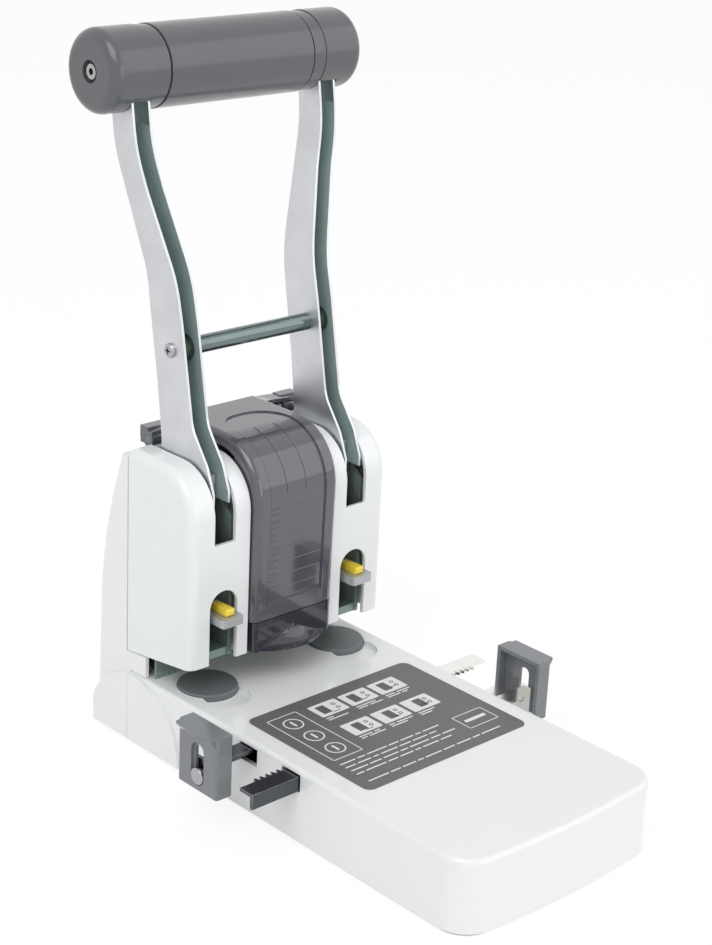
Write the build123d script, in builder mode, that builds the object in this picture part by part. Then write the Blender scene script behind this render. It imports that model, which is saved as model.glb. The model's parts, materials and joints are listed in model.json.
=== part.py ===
"""Hand-lever two-hole paper punch: a white desk machine with a tall lever and a smoked chip window.

Frame, in millimetres: +Z up from the desk, -Y towards the person at the lever, +X to their right.
The origin lies on the desk, midway between the two punches.
"""
import os
from math import atan2, cos, pi, radians, sin, sqrt, tan

from build123d import *

os.makedirs("parts", exist_ok=True)
SIDES = (("left", -1), ("right", 1))

# ---- Fits and clearances
running_gap = 0.05          # radial, a shaft in its bore
slide_gap = 0.3             # between faces that slide past each other
seam_gap = 0.3              # between two covers that meet
screw_gap = 0.1             # radial, round a screw's shank
shaft_hole_gap = 0.5        # radial, where the shaft only passes through a cover

# ---- Small hardware
screw_radius = 1.5
foot_screw_radius = 2.0
screw_head_radius = 3.0
screw_head_height = 1.8
base_screw_length = 12.0
head_recess = 0.3           # round a sunk screw head
cut_over = 2.0              # how far a cut runs past the face it opens

# ---- Punching
hole_spacing = 80.0         # the standard distance between two filing holes
punch_x = hole_spacing / 2
punch_radius = 3.0          # a 6 mm filing hole
punch_bore = 2.3
stroke = 16.0
paper_margin = 12.0         # from the holes' centres to the edge of the sheet

# ---- Base
base_half_width = 60.5
base_front = -199.0
front_bow = 3.5
base_rear = 26.0
base_corner_radius = 15.0
base_rim_radius = 2.5
base_wall = 2.4
table_height = 35.7
table_skin = 2.2
mat_thickness = 1.0
mat_inset = 1.0
plate_inset = 3.7
mat_rear = 52.5
plate_rear = 51.0
head_lift = 0.2             # the screw heads in the mat stay off the desk
foot_screw_sink = 0.4
foot_screws_y = (-16.0, 8.0)
foot_screw_inset = 10.5
foot_screw_rows = (19.0, 79.0)     # behind the base's front
foot_head_radius = 3.6
foot_head_height = 2.6
plate_thickness = 2.0
bulge_centre_y = 21.5
bulge_radius = table_height - mat_thickness - 0.7
bulge_depth = 1.3
bulge_end = 2.5

# ---- Cutting discs and the table around them
disc_radius = 14.1
disc_centre_y = -7.0
disc_thickness = 3.5
disc_proud = 1.1
disc_gap = 0.3
scoop_radius = 11.5
scoop_centre_y = -21.0
scoop_depth = 2.0
scoop_floor = 1.9
tower_hole_gap = 0.5
rack_slot_gap = 0.6
disc_chamfer = 0.4
anvil_width = 24.0
anvil_length = 17.5
anvil_centre_y = 0.8
stop_width = 2 * (base_half_width - 4.5)
stop_height = 11.0
stop_thickness = 1.0

# ---- Frame towers
tower_inner_width = 13.2
sheet = 2.0                 # the frame's steel sheet
tower_front = -13.0
tower_rear = 30.0
tower_top = 138.0
tower_web_top = 106.0
tower_crown_y = 8.0
tower_slope = 18.0
ear_drop = 12.0
ear_width = 4.0
bush_wall = 1.5
bush_flange = 1.4
tower_foot_front = -24.0
throat_height = 15.8
throat_top = table_height + throat_height
throat_back = paper_margin + 0.6
anvil_thickness = 3.9
ear_radius = 3.0
ear_angles = (-25.0, -116.0)    # where the ear's arm meets its round end

# ---- Lever
pivot_y = 20.0
pivot_z = 124.0
shaft_radius = 4.0
shaft_half_length = 52.0
shaft_chamfer = 0.5
crank_radius = 16.0
crank_angle = 30.0          # above and below level
drive_pin_radius = 2.5
arm_width = 10.0
arm_sheet = 1.2
arm_top_offset = 13.6       # how far the arms spread outwards at the grip
arm_bend_low = 225.0
arm_bend_high = 283.0
arm_bend_radius = 80.0
hub_radius = 7.5
crank_boss_radius = 5.5
bridge_y = 3.5              # the bridge between the hub and the crank's boss
bridge_z = 6.0
arm_end_radius = 7.0
arm_front_edge = ((-14.0, 128.0), (-14.0, 133.0), (-9.3, 145.0), (1.8, 160.0), (10.0, 205.0),
                  (24.0, 265.0), (31.4, 315.0))
arm_rear_edge = ((45.4, 315.0), (33.5, 214.0), (27.0, 177.0), (23.4, 150.0), (23.4, 128.0))
arm_front_rounds = (12.0, 18.0)     # at the third and fourth corner of the front edge
web_bottom = 150.0
web_top = 314.0
band_low = 100.0            # the arm's drawing from the front reaches from here
band_high = 340.0
band_front = 30.0
tie_bar_y = 17.5
tie_bar_z = 193.0
tie_bar_radius = 4.1
tie_bush_radius = 6.0
tie_screw_radius = 3.4
tie_shank_radius = 2.0
head_round = 1.2
cross_length = 3.2
cross_width = 0.8
cross_depth = 1.1

# ---- Grip
grip_y = 42.4
grip_z = 315.0
grip_radius = 18.5
grip_half_length = 71.2
grip_wall = 2.7
rib_width = 3.0
cap_tube_wall = 2.0
cap_mouth = 17.8
cap_mouth_set = 5.1          # the mouth's middle lies in front of the grip's axis
end_recess_depth = 2.6
hex_radius = 1.6
hex_depth = 1.5
cap_inner_x = 41.4
cap_step_x = 48.2
cap_step = 0.4
cap_edge_radius = 5.0
cap_end_wall = 5.0
groove_width = 0.8
rod_radius = 4.0
rod_end_set = 8.2
rod_half_length = grip_half_length - rod_end_set
end_screw_radius = 3.3
end_recess_radius = 5.0

# ---- Head covers
pod_inner_x = 25.4
pod_outer_x = base_half_width - 1.5
pod_front = -17.5
pod_rear = 29.5
pod_top = 145.2
pod_bottom_front = throat_top
pod_bottom_rear = table_height + 9.3
pod_nose_radius = 23.0
pod_edge_radius = 4.5
pod_wall = 2.2
pod_inner_wall = 1.6
slot_half_width = 6.0
slot_bottom = 110.0
window_half_width = 8.0
window_spring_z = 79.0
port_half_width = 4.0
port_low = 62.0
port_high = 92.0
rear_half_width = base_half_width - 1.1
rear_wall = 2.2
rear_cover_top = 141.5
rear_cover_back = ((53.7, 1.0), (53.7, 9.0), (51.8, 73.0), (48.6, 98.4), (43.2, 120.6), (36.4, 141.5))
rear_edge_radius = 4.0
sill_gap = 0.6
cheek_gap = 0.3
cheek_top = table_height + stop_height - 0.1
cheek_rear_y = 32.0
notch_bottom = 130.0
notch_length = 14.0
cover_screw_grip = 14.0      # from the tower to the sunk screw head
rear_cover_cheek_y = 15.2
boss_radius = 4.0
pod_head_radius = 2.8
pod_head_height = 1.2
pod_boss_set = 1.0          # how far a boss ends inside the cover's outer face
pod_screw_tip_gap = 2.4     # from a screw's tip to its boss's end
pod_screw_points = ((22.0, 66.0), (-6.0, 100.0))
cover_screw_heights = (22.0, 94.0)
cover_boss_lengths = (22.0, 17.6)

# ---- Chip bin
cover_half_width = pod_inner_x - 0.8
cover_front = -21.5
cover_bottom = 67.0
cover_top = 153.0
cover_nose_radius = 28.0
cover_wall = 1.8
cover_edge_radius = 3.5
hinge_y = 33.0
hinge_z = 146.5
hinge_pin_radius = 2.0
knuckle_radius = 3.6
strip_gap = 1.7
strip_lap = 4.0
strip_start = 0.5
strip_crown = 450.0         # radius of the strip's arch from side to side
panel_half_width = 17.0     # shallow panel let into the front and top
panel_bottom = 74.5
panel_depth = 0.7
panel_end_y = 22.0
panel_corner = 15.0
knuckle_block = 5.6
front_lean = 1.2
hopper_front_y = -11.0
hopper_rear_y = 13.0
hopper_side = 7.0
scoop_height = 9.5
scoop_edge = 1.4
scoop_bend = 0.38           # how far the flare hollows inwards, as a share of the lip
knuckle_end_x = 45.6
drawer_step = 1.0           # the drawer is this much narrower than the cover, each side
hopper_wall = 1.4
hopper_top = 137.0
drawer_bottom = throat_top + 0.2
drawer_half_width = cover_half_width - drawer_step
drawer_wall = 1.5
scoop_side_set = 2.0
drawer_rear_y = 10.6
scoop_lip = 7.0
scoop_half_width = 19.0

# ---- Side guides
module = 1.0
pinion_teeth = 20
pinion_y = -75.5
pinion_thickness = 2.2
rack_top = table_height - table_skin - 0.7
rack_sheet = 1.6
rack_flange_drop = 7.3
rack_width = 10.7           # from the tooth tips to the outside of the flange
rack_tab_width = 12.6
rack_teeth_left = 25        # of the front rack's teeth, left of the pinion at rest
rack_teeth_count = 32
tooth_backlash = 0.25
bridge_length = 44.0
bridge_wall = 2.5
tab_below_stud = 6.0
tooth_root_sink = 0.4
stud_head_height = 1.6
stud_round = 0.6
guide_round = 1.5
lip_height = 5.0
lip_edge = 1.5
guide_stand_off = 18.1
guide_depth = 8.4
guide_inner_x = base_half_width + guide_stand_off
guide_outer_x = guide_inner_x + guide_depth
guide_offset = 17.5         # from the pinion's axis to a guide's middle, along Y
rack_free_end = guide_outer_x
rack_tab_x = guide_outer_x - 3.4
guide_lip = 2.6
guide_rise = 13.3
guide_top = table_height + guide_rise
guide_height = 30.0
guide_length = 27.0
guide_wall = 2.0
guide_drop = 12.0
stud_radius = 4.0
stud_shank_radius = 2.5
stud_z = rack_top - 7.1
guide_recess = 1.4
label_half_width = 49.6
label_half_length = 40.5
label_centre_y = -86.7
label_thickness = 0.4
label_corner = 4.0

# ---- Worked out from the driving dimensions
plate_top = mat_thickness + plate_thickness
skin_bottom = table_height - table_skin
disc_top = table_height + disc_proud
disc_bottom = disc_top - disc_thickness
anvil_top = disc_bottom
anvil_bottom = anvil_top - anvil_thickness
plate_in = punch_x - tower_inner_width / 2          # inside face of a tower's inner plate
plate_out = punch_x + tower_inner_width / 2         # inside face of its outer plate
pod_screw_reach = pod_outer_x - pod_boss_set - plate_out - sheet - pod_screw_tip_gap
punch_tip = disc_top + running_gap + stroke
pitch_radius = module * pinion_teeth / 2
crank_y = pivot_y - crank_radius * cos(radians(crank_angle))
crank_z = pivot_z + crank_radius * sin(radians(crank_angle))
right_guide_y = pinion_y - guide_offset
band_depth = band_front + grip_y + grip_radius
block_thickness = 4.0
block_centre_y = 6.0
block_length = 37.0
block_top = throat_top + block_thickness
holder_bottom = block_top + stroke + 0.5
holder_thickness = 4.0
holder_top = holder_bottom + holder_thickness
holder_front = -25.0
holder_rear = 9.0
holder_round = 1.6
punch_bevel = 0.6
port_height = 5.0
socket_cap = 3.0
stem_front = -5.4
stem_rear = 13.0
stem_over_pin = 7.0
stem_play = 0.5
seat_rear = 24.0
seat_edge = 3.0
seat_root = 6.0
tab_post_y = -10.5
tab_post_radius = 1.2
tab_post_height = 3.9
tab_thickness = 3.4
tab_lift = 0.1
tab_eye_radius = 2.3
tab_front = -22.6
tab_root = -11.0
tab_half_front = 2.6
tab_half_root = 2.0
tab_bevel = 0.7
holder_half_width = tower_inner_width / 2 - 0.4
socket_depth = 8.5
socket_head = 5.5
punch_top = holder_top + socket_depth
socket_top = punch_top + socket_head
socket_radius = 5.8
stem_thickness = arm_width - 2 * arm_sheet - 1.0
spring_y = 18.5
spring_radius = 4.0
spring_wire = 0.6
spring_turns = 10
clip_thickness = 1.2
clip_gap = 0.2
spring_seat_z = 100.0


def write(part, name):
    """Label a finished piece and write it as one STEP file."""
    part.label = name
    export_step(part, f"parts/{name}.step")


def write_pair(right_part, name):
    """Write a piece of the right side and its mirror image on the left."""
    write(right_part, f"{name}_right")
    write(mirror(right_part, about=Plane.YZ), f"{name}_left")


def base_outline(inset=0.0, rear=base_rear):
    """Draw the base's plan, set in by a wall: straight sides and a bowed front with round corners."""
    half = base_half_width - inset
    corner_y = base_front + front_bow + inset
    with BuildSketch() as outline:
        with BuildLine():
            Polyline((half, corner_y), (half, rear), (-half, rear), (-half, corner_y))
            ThreePointArc((-half, corner_y), (0, base_front + inset), (half, corner_y))
        make_face()
        fillet(outline.vertices().sort_by(Axis.Y)[:2], base_corner_radius - inset)
    return outline.sketch


def bulge_outline(front, rear):
    """Draw the low arch that swells on the base's side, seen from the side, between two y values."""
    with BuildSketch() as outline:
        with Locations((bulge_centre_y, mat_thickness)):
            Circle(bulge_radius)
        with Locations(((front + rear) / 2, mat_thickness + bulge_radius / 2)):
            Rectangle(rear - front, bulge_radius, mode=Mode.INTERSECT)
    return outline.sketch


# ==== Base ====
screw_points = [(side * (base_half_width - foot_screw_inset), base_front + row)
                for _, side in SIDES for row in foot_screw_rows]

with BuildPart() as base_shell:
    with BuildSketch(Plane.XY.offset(mat_thickness)):
        add(base_outline())
    extrude(amount=table_height - mat_thickness)
    rim = base_shell.faces().sort_by(Axis.Z)[-1].edges().sort_by(Axis.Y)[:-1]
    fillet(rim, radius=base_rim_radius)
    with BuildSketch(Plane.YZ):
        add(bulge_outline(base_rear - bulge_radius - bulge_radius, base_rear))
    extrude(amount=base_half_width + bulge_depth, both=True)
    with BuildSketch(Plane.XY.offset(mat_thickness)):
        add(base_outline(base_wall, base_rear + base_wall))
    extrude(amount=skin_bottom - mat_thickness, mode=Mode.SUBTRACT)
    # Bosses for the screws from below
    with BuildSketch(Plane.XY.offset(plate_top)):
        with Locations(screw_points):
            Circle(boss_radius)
    extrude(amount=skin_bottom - plate_top)
    with BuildSketch(Plane.XY.offset(plate_top)):
        with Locations(screw_points):
            Circle(screw_radius + screw_gap)
    extrude(amount=base_screw_length - plate_thickness + cut_over, mode=Mode.SUBTRACT)
    # Thickened floors below the finger scoops, the scoops, and the discs' pockets
    for _, side in SIDES:
        with BuildSketch(Plane.XY.offset(table_height - scoop_depth - scoop_floor)):
            with Locations((side * punch_x, scoop_centre_y)):
                Circle(scoop_radius + 1.0)
        extrude(amount=scoop_floor + scoop_depth - table_skin)
        with BuildSketch(Plane.XY.offset(table_height - scoop_depth)):
            with Locations((side * punch_x, scoop_centre_y)):
                Circle(scoop_radius)
        extrude(amount=scoop_depth, mode=Mode.SUBTRACT)
        with BuildSketch(Plane.XY.offset(disc_bottom)):
            with Locations((side * punch_x, disc_centre_y)):
                Circle(disc_radius + disc_gap)
        extrude(amount=disc_thickness, mode=Mode.SUBTRACT)
        # Opening for the tower, and the slots that the rack bars pass through
        with BuildSketch(Plane.XY.offset(skin_bottom)):
            with Locations((side * punch_x, (throat_back + base_rear) / 2)):
                Rectangle(tower_inner_width + 2 * (sheet + tower_hole_gap), base_rear - throat_back)
        extrude(amount=table_skin, mode=Mode.SUBTRACT)
        with BuildSketch(Plane.YZ):
            slot_width = rack_width + 2 * rack_slot_gap
            for bar in (-1, 1):
                with Locations((pinion_y + bar * (pitch_radius - module + rack_width / 2),
                                rack_top - rack_flange_drop / 2)):
                    Rectangle(slot_width, rack_flange_drop + 2 * rack_slot_gap)
        extrude(amount=side * (base_half_width + 2.0), mode=Mode.SUBTRACT)
write(base_shell.part, "base_shell")

with BuildPart() as base_mat:
    with BuildSketch():
        add(base_outline(mat_inset, mat_rear))
    extrude(amount=mat_thickness)
    with BuildSketch():
        with Locations(screw_points):
            Circle(screw_head_radius + head_recess + screw_gap)
    extrude(amount=mat_thickness, mode=Mode.SUBTRACT)
write(base_mat.part, "base_mat")

with BuildPart() as base_plate:
    with BuildSketch(Plane.XY.offset(mat_thickness)):
        add(base_outline(plate_inset, plate_rear))
    extrude(amount=plate_thickness)
    with BuildSketch(Plane.XY.offset(mat_thickness)):
        with Locations(screw_points):
            Circle(screw_radius + screw_gap)
    extrude(amount=plate_thickness, mode=Mode.SUBTRACT)
    with BuildSketch(Plane.XY.offset(mat_thickness + foot_screw_sink)):
        for _, side in SIDES:
            with Locations(*[(side * punch_x, y) for y in foot_screws_y]):
                Circle(foot_screw_radius + screw_gap)
    extrude(amount=plate_thickness, mode=Mode.SUBTRACT)
write(base_plate.part, "base_plate")

with BuildPart() as base_screws:
    with BuildSketch(Plane.XY.offset(head_lift)):
        with Locations(screw_points):
            Circle(screw_head_radius)
    extrude(amount=mat_thickness - head_lift)
    with BuildSketch(Plane.XY.offset(mat_thickness)):
        with Locations(screw_points):
            Circle(screw_radius)
    extrude(amount=base_screw_length)
write(base_screws.part, "base_screws")

with BuildPart() as instruction_plate:
    with BuildSketch(Plane.XY.offset(table_height)):
        with Locations((0, label_centre_y)):
            RectangleRounded(2 * label_half_width, 2 * label_half_length, label_corner)
    extrude(amount=label_thickness)
write(instruction_plate.part, "instruction_plate")

for side_name, side in SIDES:
    with BuildPart() as cutting_disc:
        with BuildSketch(Plane.XY.offset(disc_bottom)):
            with Locations((side * punch_x, disc_centre_y)):
                Circle(disc_radius)
        extrude(amount=disc_thickness)
        chamfer(cutting_disc.faces().sort_by(Axis.Z)[-1].edges(), length=disc_chamfer)
    write(cutting_disc.part, f"cutting_disc_{side_name}")

    with BuildPart() as anvil:
        with BuildSketch(Plane.XY.offset(anvil_bottom)):
            with Locations((side * punch_x, anvil_centre_y)):
                Rectangle(anvil_width, anvil_length)
        extrude(amount=anvil_thickness)
    write(anvil.part, f"anvil_{side_name}")

# ==== Frame towers ====
with BuildPart() as tower:
    # Two C-shaped cheeks that reach round the paper throat
    for low_x in (plate_in - sheet, plate_out):
        with BuildSketch(Plane.YZ.offset(low_x)):
            with BuildLine():
                Polyline((tower_rear, plate_top), (tower_rear, tower_top), (tower_crown_y, tower_top),
                         (tower_front, tower_top - tower_slope), (tower_front, throat_top),
                         (throat_back, throat_top), (throat_back, anvil_bottom),
                         (tower_foot_front, anvil_bottom), (tower_foot_front, plate_top),
                         (tower_rear, plate_top))
            make_face()
            with Locations((pivot_y, pivot_z)):
                Circle(shaft_radius + bush_wall, mode=Mode.SUBTRACT)
            with Locations(*pod_screw_points):
                Circle(screw_radius + screw_gap, mode=Mode.SUBTRACT)
        extrude(amount=sheet)
    # Ear for the chip window's hinge, on the inner cheek
    ear_back, ear_neck = [(hinge_y + ear_radius * cos(radians(turn)),
                           hinge_z + ear_radius * sin(radians(turn))) for turn in ear_angles]
    with BuildSketch(Plane.YZ.offset(plate_in - sheet)):
        with BuildLine():
            Polyline((tower_rear - ear_width, tower_top - ear_drop), (tower_rear, tower_top - ear_drop),
                     ear_back, (hinge_y, hinge_z), ear_neck, (tower_rear, tower_top),
                     (tower_rear - ear_width, tower_top), close=True)
        make_face()
        with Locations((hinge_y, hinge_z)):
            Circle(ear_radius)
        with Locations((hinge_y, hinge_z)):
            Circle(hinge_pin_radius, mode=Mode.SUBTRACT)
    extrude(amount=sheet)
    # Port where the chips leave towards the bin
    with BuildSketch(Plane.YZ.offset(plate_in - sheet)):
        with Locations((0, (port_low + port_high) / 2)):
            RectangleRounded(2 * port_half_width, port_high - port_low, 2.0)
    extrude(amount=sheet, mode=Mode.SUBTRACT)
    # Back web and foot
    with BuildSketch(Plane.XY.offset(plate_top)):
        with Locations((punch_x, tower_rear - sheet / 2)):
            Rectangle(tower_inner_width, sheet)
    extrude(amount=tower_web_top - plate_top)
    with BuildSketch(Plane.XY.offset(plate_top)):
        with Locations((punch_x, (tower_foot_front + tower_rear) / 2)):
            Rectangle(tower_inner_width, tower_rear - tower_foot_front)
        with Locations(*[(punch_x, y) for y in foot_screws_y]):
            Circle(foot_screw_radius + screw_gap, mode=Mode.SUBTRACT)
    extrude(amount=sheet)
    with BuildSketch(Plane.XZ.offset(-tower_rear)):
        with Locations(*[(punch_x, height) for height in cover_screw_heights]):
            Circle(screw_radius + screw_gap)
    extrude(amount=sheet, mode=Mode.SUBTRACT)
write_pair(tower.part, "tower")

with BuildPart() as tower_screws:
    for _, side in SIDES:
        with BuildSketch(Plane.XY.offset(mat_thickness + foot_screw_sink)):
            with Locations(*[(side * punch_x, y) for y in foot_screws_y]):
                Circle(foot_screw_radius)
        extrude(amount=plate_top + sheet - mat_thickness - foot_screw_sink)
        with BuildSketch(Plane.XY.offset(plate_top + sheet)):
            with Locations(*[(side * punch_x, y) for y in foot_screws_y]):
                Circle(foot_head_radius)
        extrude(amount=foot_head_height)
write(tower_screws.part, "tower_screws")

with BuildPart() as paper_stop:
    with BuildSketch(Plane.XY.offset(table_height)):
        with Locations((0, throat_back - stop_thickness / 2)):
            Rectangle(stop_width, stop_thickness)
    extrude(amount=stop_height)
write(paper_stop.part, "paper_stop")

with BuildPart() as shaft_bushes:
    for _, side in SIDES:
        for plate_x, flange_x in ((plate_in - sheet, plate_in), (plate_out, plate_out - bush_flange)):
            with BuildSketch(Plane.YZ.offset(side * plate_x)):
                with Locations((pivot_y, pivot_z)):
                    Circle(shaft_radius + bush_wall)
                    Circle(shaft_radius + running_gap, mode=Mode.SUBTRACT)
            extrude(amount=side * sheet)
            with BuildSketch(Plane.YZ.offset(side * flange_x)):
                with Locations((pivot_y, pivot_z)):
                    Circle(hub_radius)
                    Circle(shaft_radius + running_gap, mode=Mode.SUBTRACT)
            extrude(amount=side * bush_flange)
write(shaft_bushes.part, "shaft_bushes")

# ==== Punch units ====
with BuildPart() as punch_guide:
    with BuildSketch(Plane.XY.offset(throat_top)):
        with Locations((punch_x, block_centre_y)):
            Rectangle(tower_inner_width, block_length)
        with Locations((punch_x, 0)):
            Circle(punch_radius + running_gap, mode=Mode.SUBTRACT)
    extrude(amount=block_thickness)
write_pair(punch_guide.part, "punch_guide")

for side_name, side in SIDES:
    with BuildPart() as punch:
        with BuildSketch(Plane.XY.offset(punch_tip)):
            with Locations((side * punch_x, 0)):
                Circle(punch_radius)
                Circle(punch_bore, mode=Mode.SUBTRACT)
        extrude(amount=punch_top - punch_tip)
        chamfer(punch.faces().sort_by(Axis.Z)[0].edges().sort_by(SortBy.RADIUS)[-1], length=punch_bevel)
    write(punch.part, f"punch_{side_name}")

with BuildPart() as punch_holder:
    # Flat bracket that reaches out of the window
    with BuildSketch(Plane.XY.offset(holder_bottom)):
        with Locations((punch_x, (holder_front + holder_rear) / 2)):
            Rectangle(2 * holder_half_width, holder_rear - holder_front)
        fillet(vertices().sort_by(Axis.Y)[:2], holder_round)
        with Locations((punch_x, 0)):
            Circle(punch_radius, mode=Mode.SUBTRACT)
    extrude(amount=holder_thickness)
    # Socket round the punch, then the stem up to the drive pin
    with BuildSketch(Plane.XY.offset(holder_top)):
        with Locations((punch_x, 0)):
            Circle(socket_radius)
            Circle(punch_radius, mode=Mode.SUBTRACT)
    extrude(amount=socket_top - holder_top)
    with BuildSketch(Plane.XY.offset(socket_top)):
        with Locations((punch_x, 0)):
            Circle(socket_radius)
    extrude(amount=socket_cap)
    with BuildSketch(Plane.YZ.offset(punch_x - stem_thickness / 2)):
        with BuildLine():
            Polyline((stem_front, socket_top + 1.0), (stem_rear, socket_top + 1.0),
                     (stem_rear, crank_z + stem_over_pin), (stem_front, crank_z + stem_over_pin),
                     close=True)
        make_face()
        with BuildLine():
            Polyline((stem_rear, spring_seat_z), (seat_rear, spring_seat_z),
                     (seat_rear, spring_seat_z + seat_edge), (stem_rear, spring_seat_z + seat_root),
                     close=True)
        make_face()
        # Level slot for the drive pin
        slot_low_y = pivot_y - crank_radius - drive_pin_radius - stem_play
        slot_high_y = crank_y + drive_pin_radius + stem_play
        with Locations(((slot_low_y + slot_high_y) / 2, crank_z)):
            Rectangle(slot_high_y - slot_low_y, 2 * (drive_pin_radius + slide_gap),
                      mode=Mode.SUBTRACT)
    extrude(amount=stem_thickness)
    # Chip port, towards the bin
    with BuildSketch(Plane.YZ.offset(punch_x - socket_radius - 1.0)):
        with Locations((0, punch_top + port_height / 2)):
            Rectangle(2 * punch_bore, port_height)
    extrude(amount=socket_radius + 1.0, mode=Mode.SUBTRACT)
    # Post that the release tab turns on
    with BuildSketch(Plane.XY.offset(holder_top)):
        with Locations((punch_x, tab_post_y)):
            Circle(tab_post_radius)
    extrude(amount=tab_post_height)
write_pair(punch_holder.part, "punch_holder")

with BuildPart() as release_tab:
    with BuildSketch(Plane.XY.offset(holder_top + tab_lift)):
        with BuildLine():
            Polyline((punch_x - tab_half_root, tab_root), (punch_x - tab_half_front, tab_front),
                     (punch_x + tab_half_front, tab_front), (punch_x + tab_half_root, tab_root),
                     close=True)
        make_face()
        with Locations((punch_x, tab_post_y)):
            Circle(tab_eye_radius)
            Circle(tab_post_radius + running_gap, mode=Mode.SUBTRACT)
    extrude(amount=tab_thickness)
    chamfer(release_tab.faces().sort_by(Axis.Y)[0].edges(), length=tab_bevel)
write_pair(release_tab.part, "release_tab")

with BuildPart() as return_spring:
    spring_low = block_top + spring_wire + running_gap
    spring_high = spring_seat_z - spring_wire - running_gap
    with BuildLine():
        Helix(pitch=(spring_high - spring_low) / spring_turns, height=spring_high - spring_low,
              radius=spring_radius, center=(punch_x, spring_y, spring_low))
    with BuildSketch(Plane(origin=(punch_x + spring_radius, spring_y, spring_low),
                           x_dir=(1, 0, 0), z_dir=(0, 1, 0))):
        Circle(spring_wire)
    sweep(is_frenet=True)
write_pair(return_spring.part, "return_spring")

# ==== Lever ====
with BuildPart() as main_shaft:
    with BuildSketch(Plane.YZ.offset(-shaft_half_length)):
        with Locations((pivot_y, pivot_z)):
            Circle(shaft_radius)
    extrude(amount=2 * shaft_half_length)
    chamfer(main_shaft.edges().filter_by(GeomType.CIRCLE), length=shaft_chamfer)
write(main_shaft.part, "main_shaft")

with BuildPart() as shaft_clips:
    for _, side in SIDES:
        with BuildSketch(Plane.YZ.offset(side * (plate_out + sheet + clip_gap))):
            with Locations((pivot_y, pivot_z)):
                Circle(hub_radius - 1.0)
                Circle(shaft_radius, mode=Mode.SUBTRACT)
        extrude(amount=side * clip_thickness)
write(shaft_clips.part, "shaft_clips")


bend_angle = atan2(arm_top_offset, arm_bend_high - arm_bend_low)


def arm_band(half_width):
    """Draw the arm from the front: straight, an S-bend outwards, straight again."""
    turn = half_width * tan(bend_angle / 2)
    outer = arm_bend_radius + half_width
    inner = arm_bend_radius - half_width
    with BuildSketch() as band:
        with BuildLine():
            ends = []
            for way, radii in ((-1, (outer, inner)), (1, (inner, outer))):
                low_x = punch_x + way * half_width
                edge = FilletPolyline((low_x, band_low), (low_x, arm_bend_low - way * turn),
                                      (low_x + arm_top_offset, arm_bend_high - way * turn),
                                      (low_x + arm_top_offset, band_high), radius=radii)
                ends.append((edge @ 0, edge @ 1))
            Line(ends[0][0], ends[1][0])
            Line(ends[0][1], ends[1][1])
        make_face()
    return band.sketch


def arm_side(front_inset=0.0, rear_inset=0.0):
    """Draw the arm from the side: a leaning blade that tapers upwards, over its nose."""
    points = [(y - front_inset, z) for y, z in arm_front_edge]
    points += [(y - rear_inset, z) for y, z in arm_rear_edge]
    with BuildSketch() as side_view:
        with BuildLine():
            Polyline(*points, close=True)
        make_face()
        for point, size in zip(points[2:], arm_front_rounds):
            fillet(side_view.vertices().sort_by_distance(point)[:1], size)
    return side_view.sketch


# The hollow of the arm's channel: open to the front, closed by the web behind, no web below it
with BuildPart() as channel:
    with BuildSketch(Plane.XZ.offset(band_front)):
        add(arm_band(arm_width / 2 - arm_sheet))
    extrude(amount=-band_depth)
    with BuildSketch(Plane.YZ.offset(punch_x - arm_width)):
        add(arm_side(front_inset=arm_width, rear_inset=arm_sheet))
        with Locations((pivot_y, (band_low + web_bottom) / 2)):
            Rectangle(band_depth, web_bottom - band_low)
        with Locations((grip_y, (band_high + web_top) / 2)):
            Rectangle(band_depth, band_high - web_top)
    extrude(amount=arm_top_offset + 2 * arm_width, mode=Mode.INTERSECT)

with BuildPart() as arm:
    with BuildSketch(Plane.XZ.offset(band_front)):
        add(arm_band(arm_width / 2))
    extrude(amount=-band_depth)
    with BuildSketch(Plane.YZ.offset(punch_x - arm_width)):
        add(arm_side())
        with Locations((pivot_y, pivot_z)):
            Circle(hub_radius)
        with Locations((crank_y, crank_z - 1.0)):
            Circle(crank_boss_radius)
        with BuildLine():
            Polyline((crank_y - bridge_y, crank_z - bridge_y), (pivot_y - bridge_y, pivot_z - bridge_z),
                     (pivot_y + bridge_y, pivot_z + bridge_z), (crank_y, crank_z + bridge_y), close=True)
        make_face()
        with Locations((grip_y - arm_end_radius / 2, grip_z)):
            Circle(arm_end_radius)
    extrude(amount=arm_top_offset + 2 * arm_width, mode=Mode.INTERSECT)
    add(channel.part, mode=Mode.SUBTRACT)
    # Holes for the shaft, the drive pin, the tie bar's screw and the grip's rod
    with BuildSketch(Plane.YZ.offset(punch_x - arm_width)):
        for hole_y, hole_z, radius in ((pivot_y, pivot_z, shaft_radius),
                                       (crank_y, crank_z, drive_pin_radius),
                                       (tie_bar_y, tie_bar_z, tie_shank_radius),
                                       (grip_y, grip_z, rod_radius)):
            with Locations((hole_y, hole_z)):
                Circle(radius)
    extrude(amount=arm_top_offset + 2 * arm_width, mode=Mode.SUBTRACT)
write_pair(arm.part, "arm")

with BuildPart() as drive_pins:
    for _, side in SIDES:
        with BuildSketch(Plane.YZ.offset(side * (punch_x - arm_width / 2))):
            with Locations((crank_y, crank_z)):
                Circle(drive_pin_radius)
        extrude(amount=side * arm_width)
write(drive_pins.part, "drive_pins")

arm_inner_x = punch_x - arm_width / 2
arm_outer_x = punch_x + arm_width / 2
tie_screw_depth = 10.0

with BuildPart() as tie_bar:
    with BuildSketch(Plane.YZ.offset(-arm_inner_x)):
        with Locations((tie_bar_y, tie_bar_z)):
            Circle(tie_bar_radius)
    extrude(amount=2 * arm_inner_x)
    for _, side in SIDES:
        with BuildSketch(Plane.YZ.offset(side * arm_inner_x)):
            with Locations((tie_bar_y, tie_bar_z)):
                Circle(tie_shank_radius)
        extrude(amount=-side * tie_screw_depth, mode=Mode.SUBTRACT)
write(tie_bar.part, "tie_bar")

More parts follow.
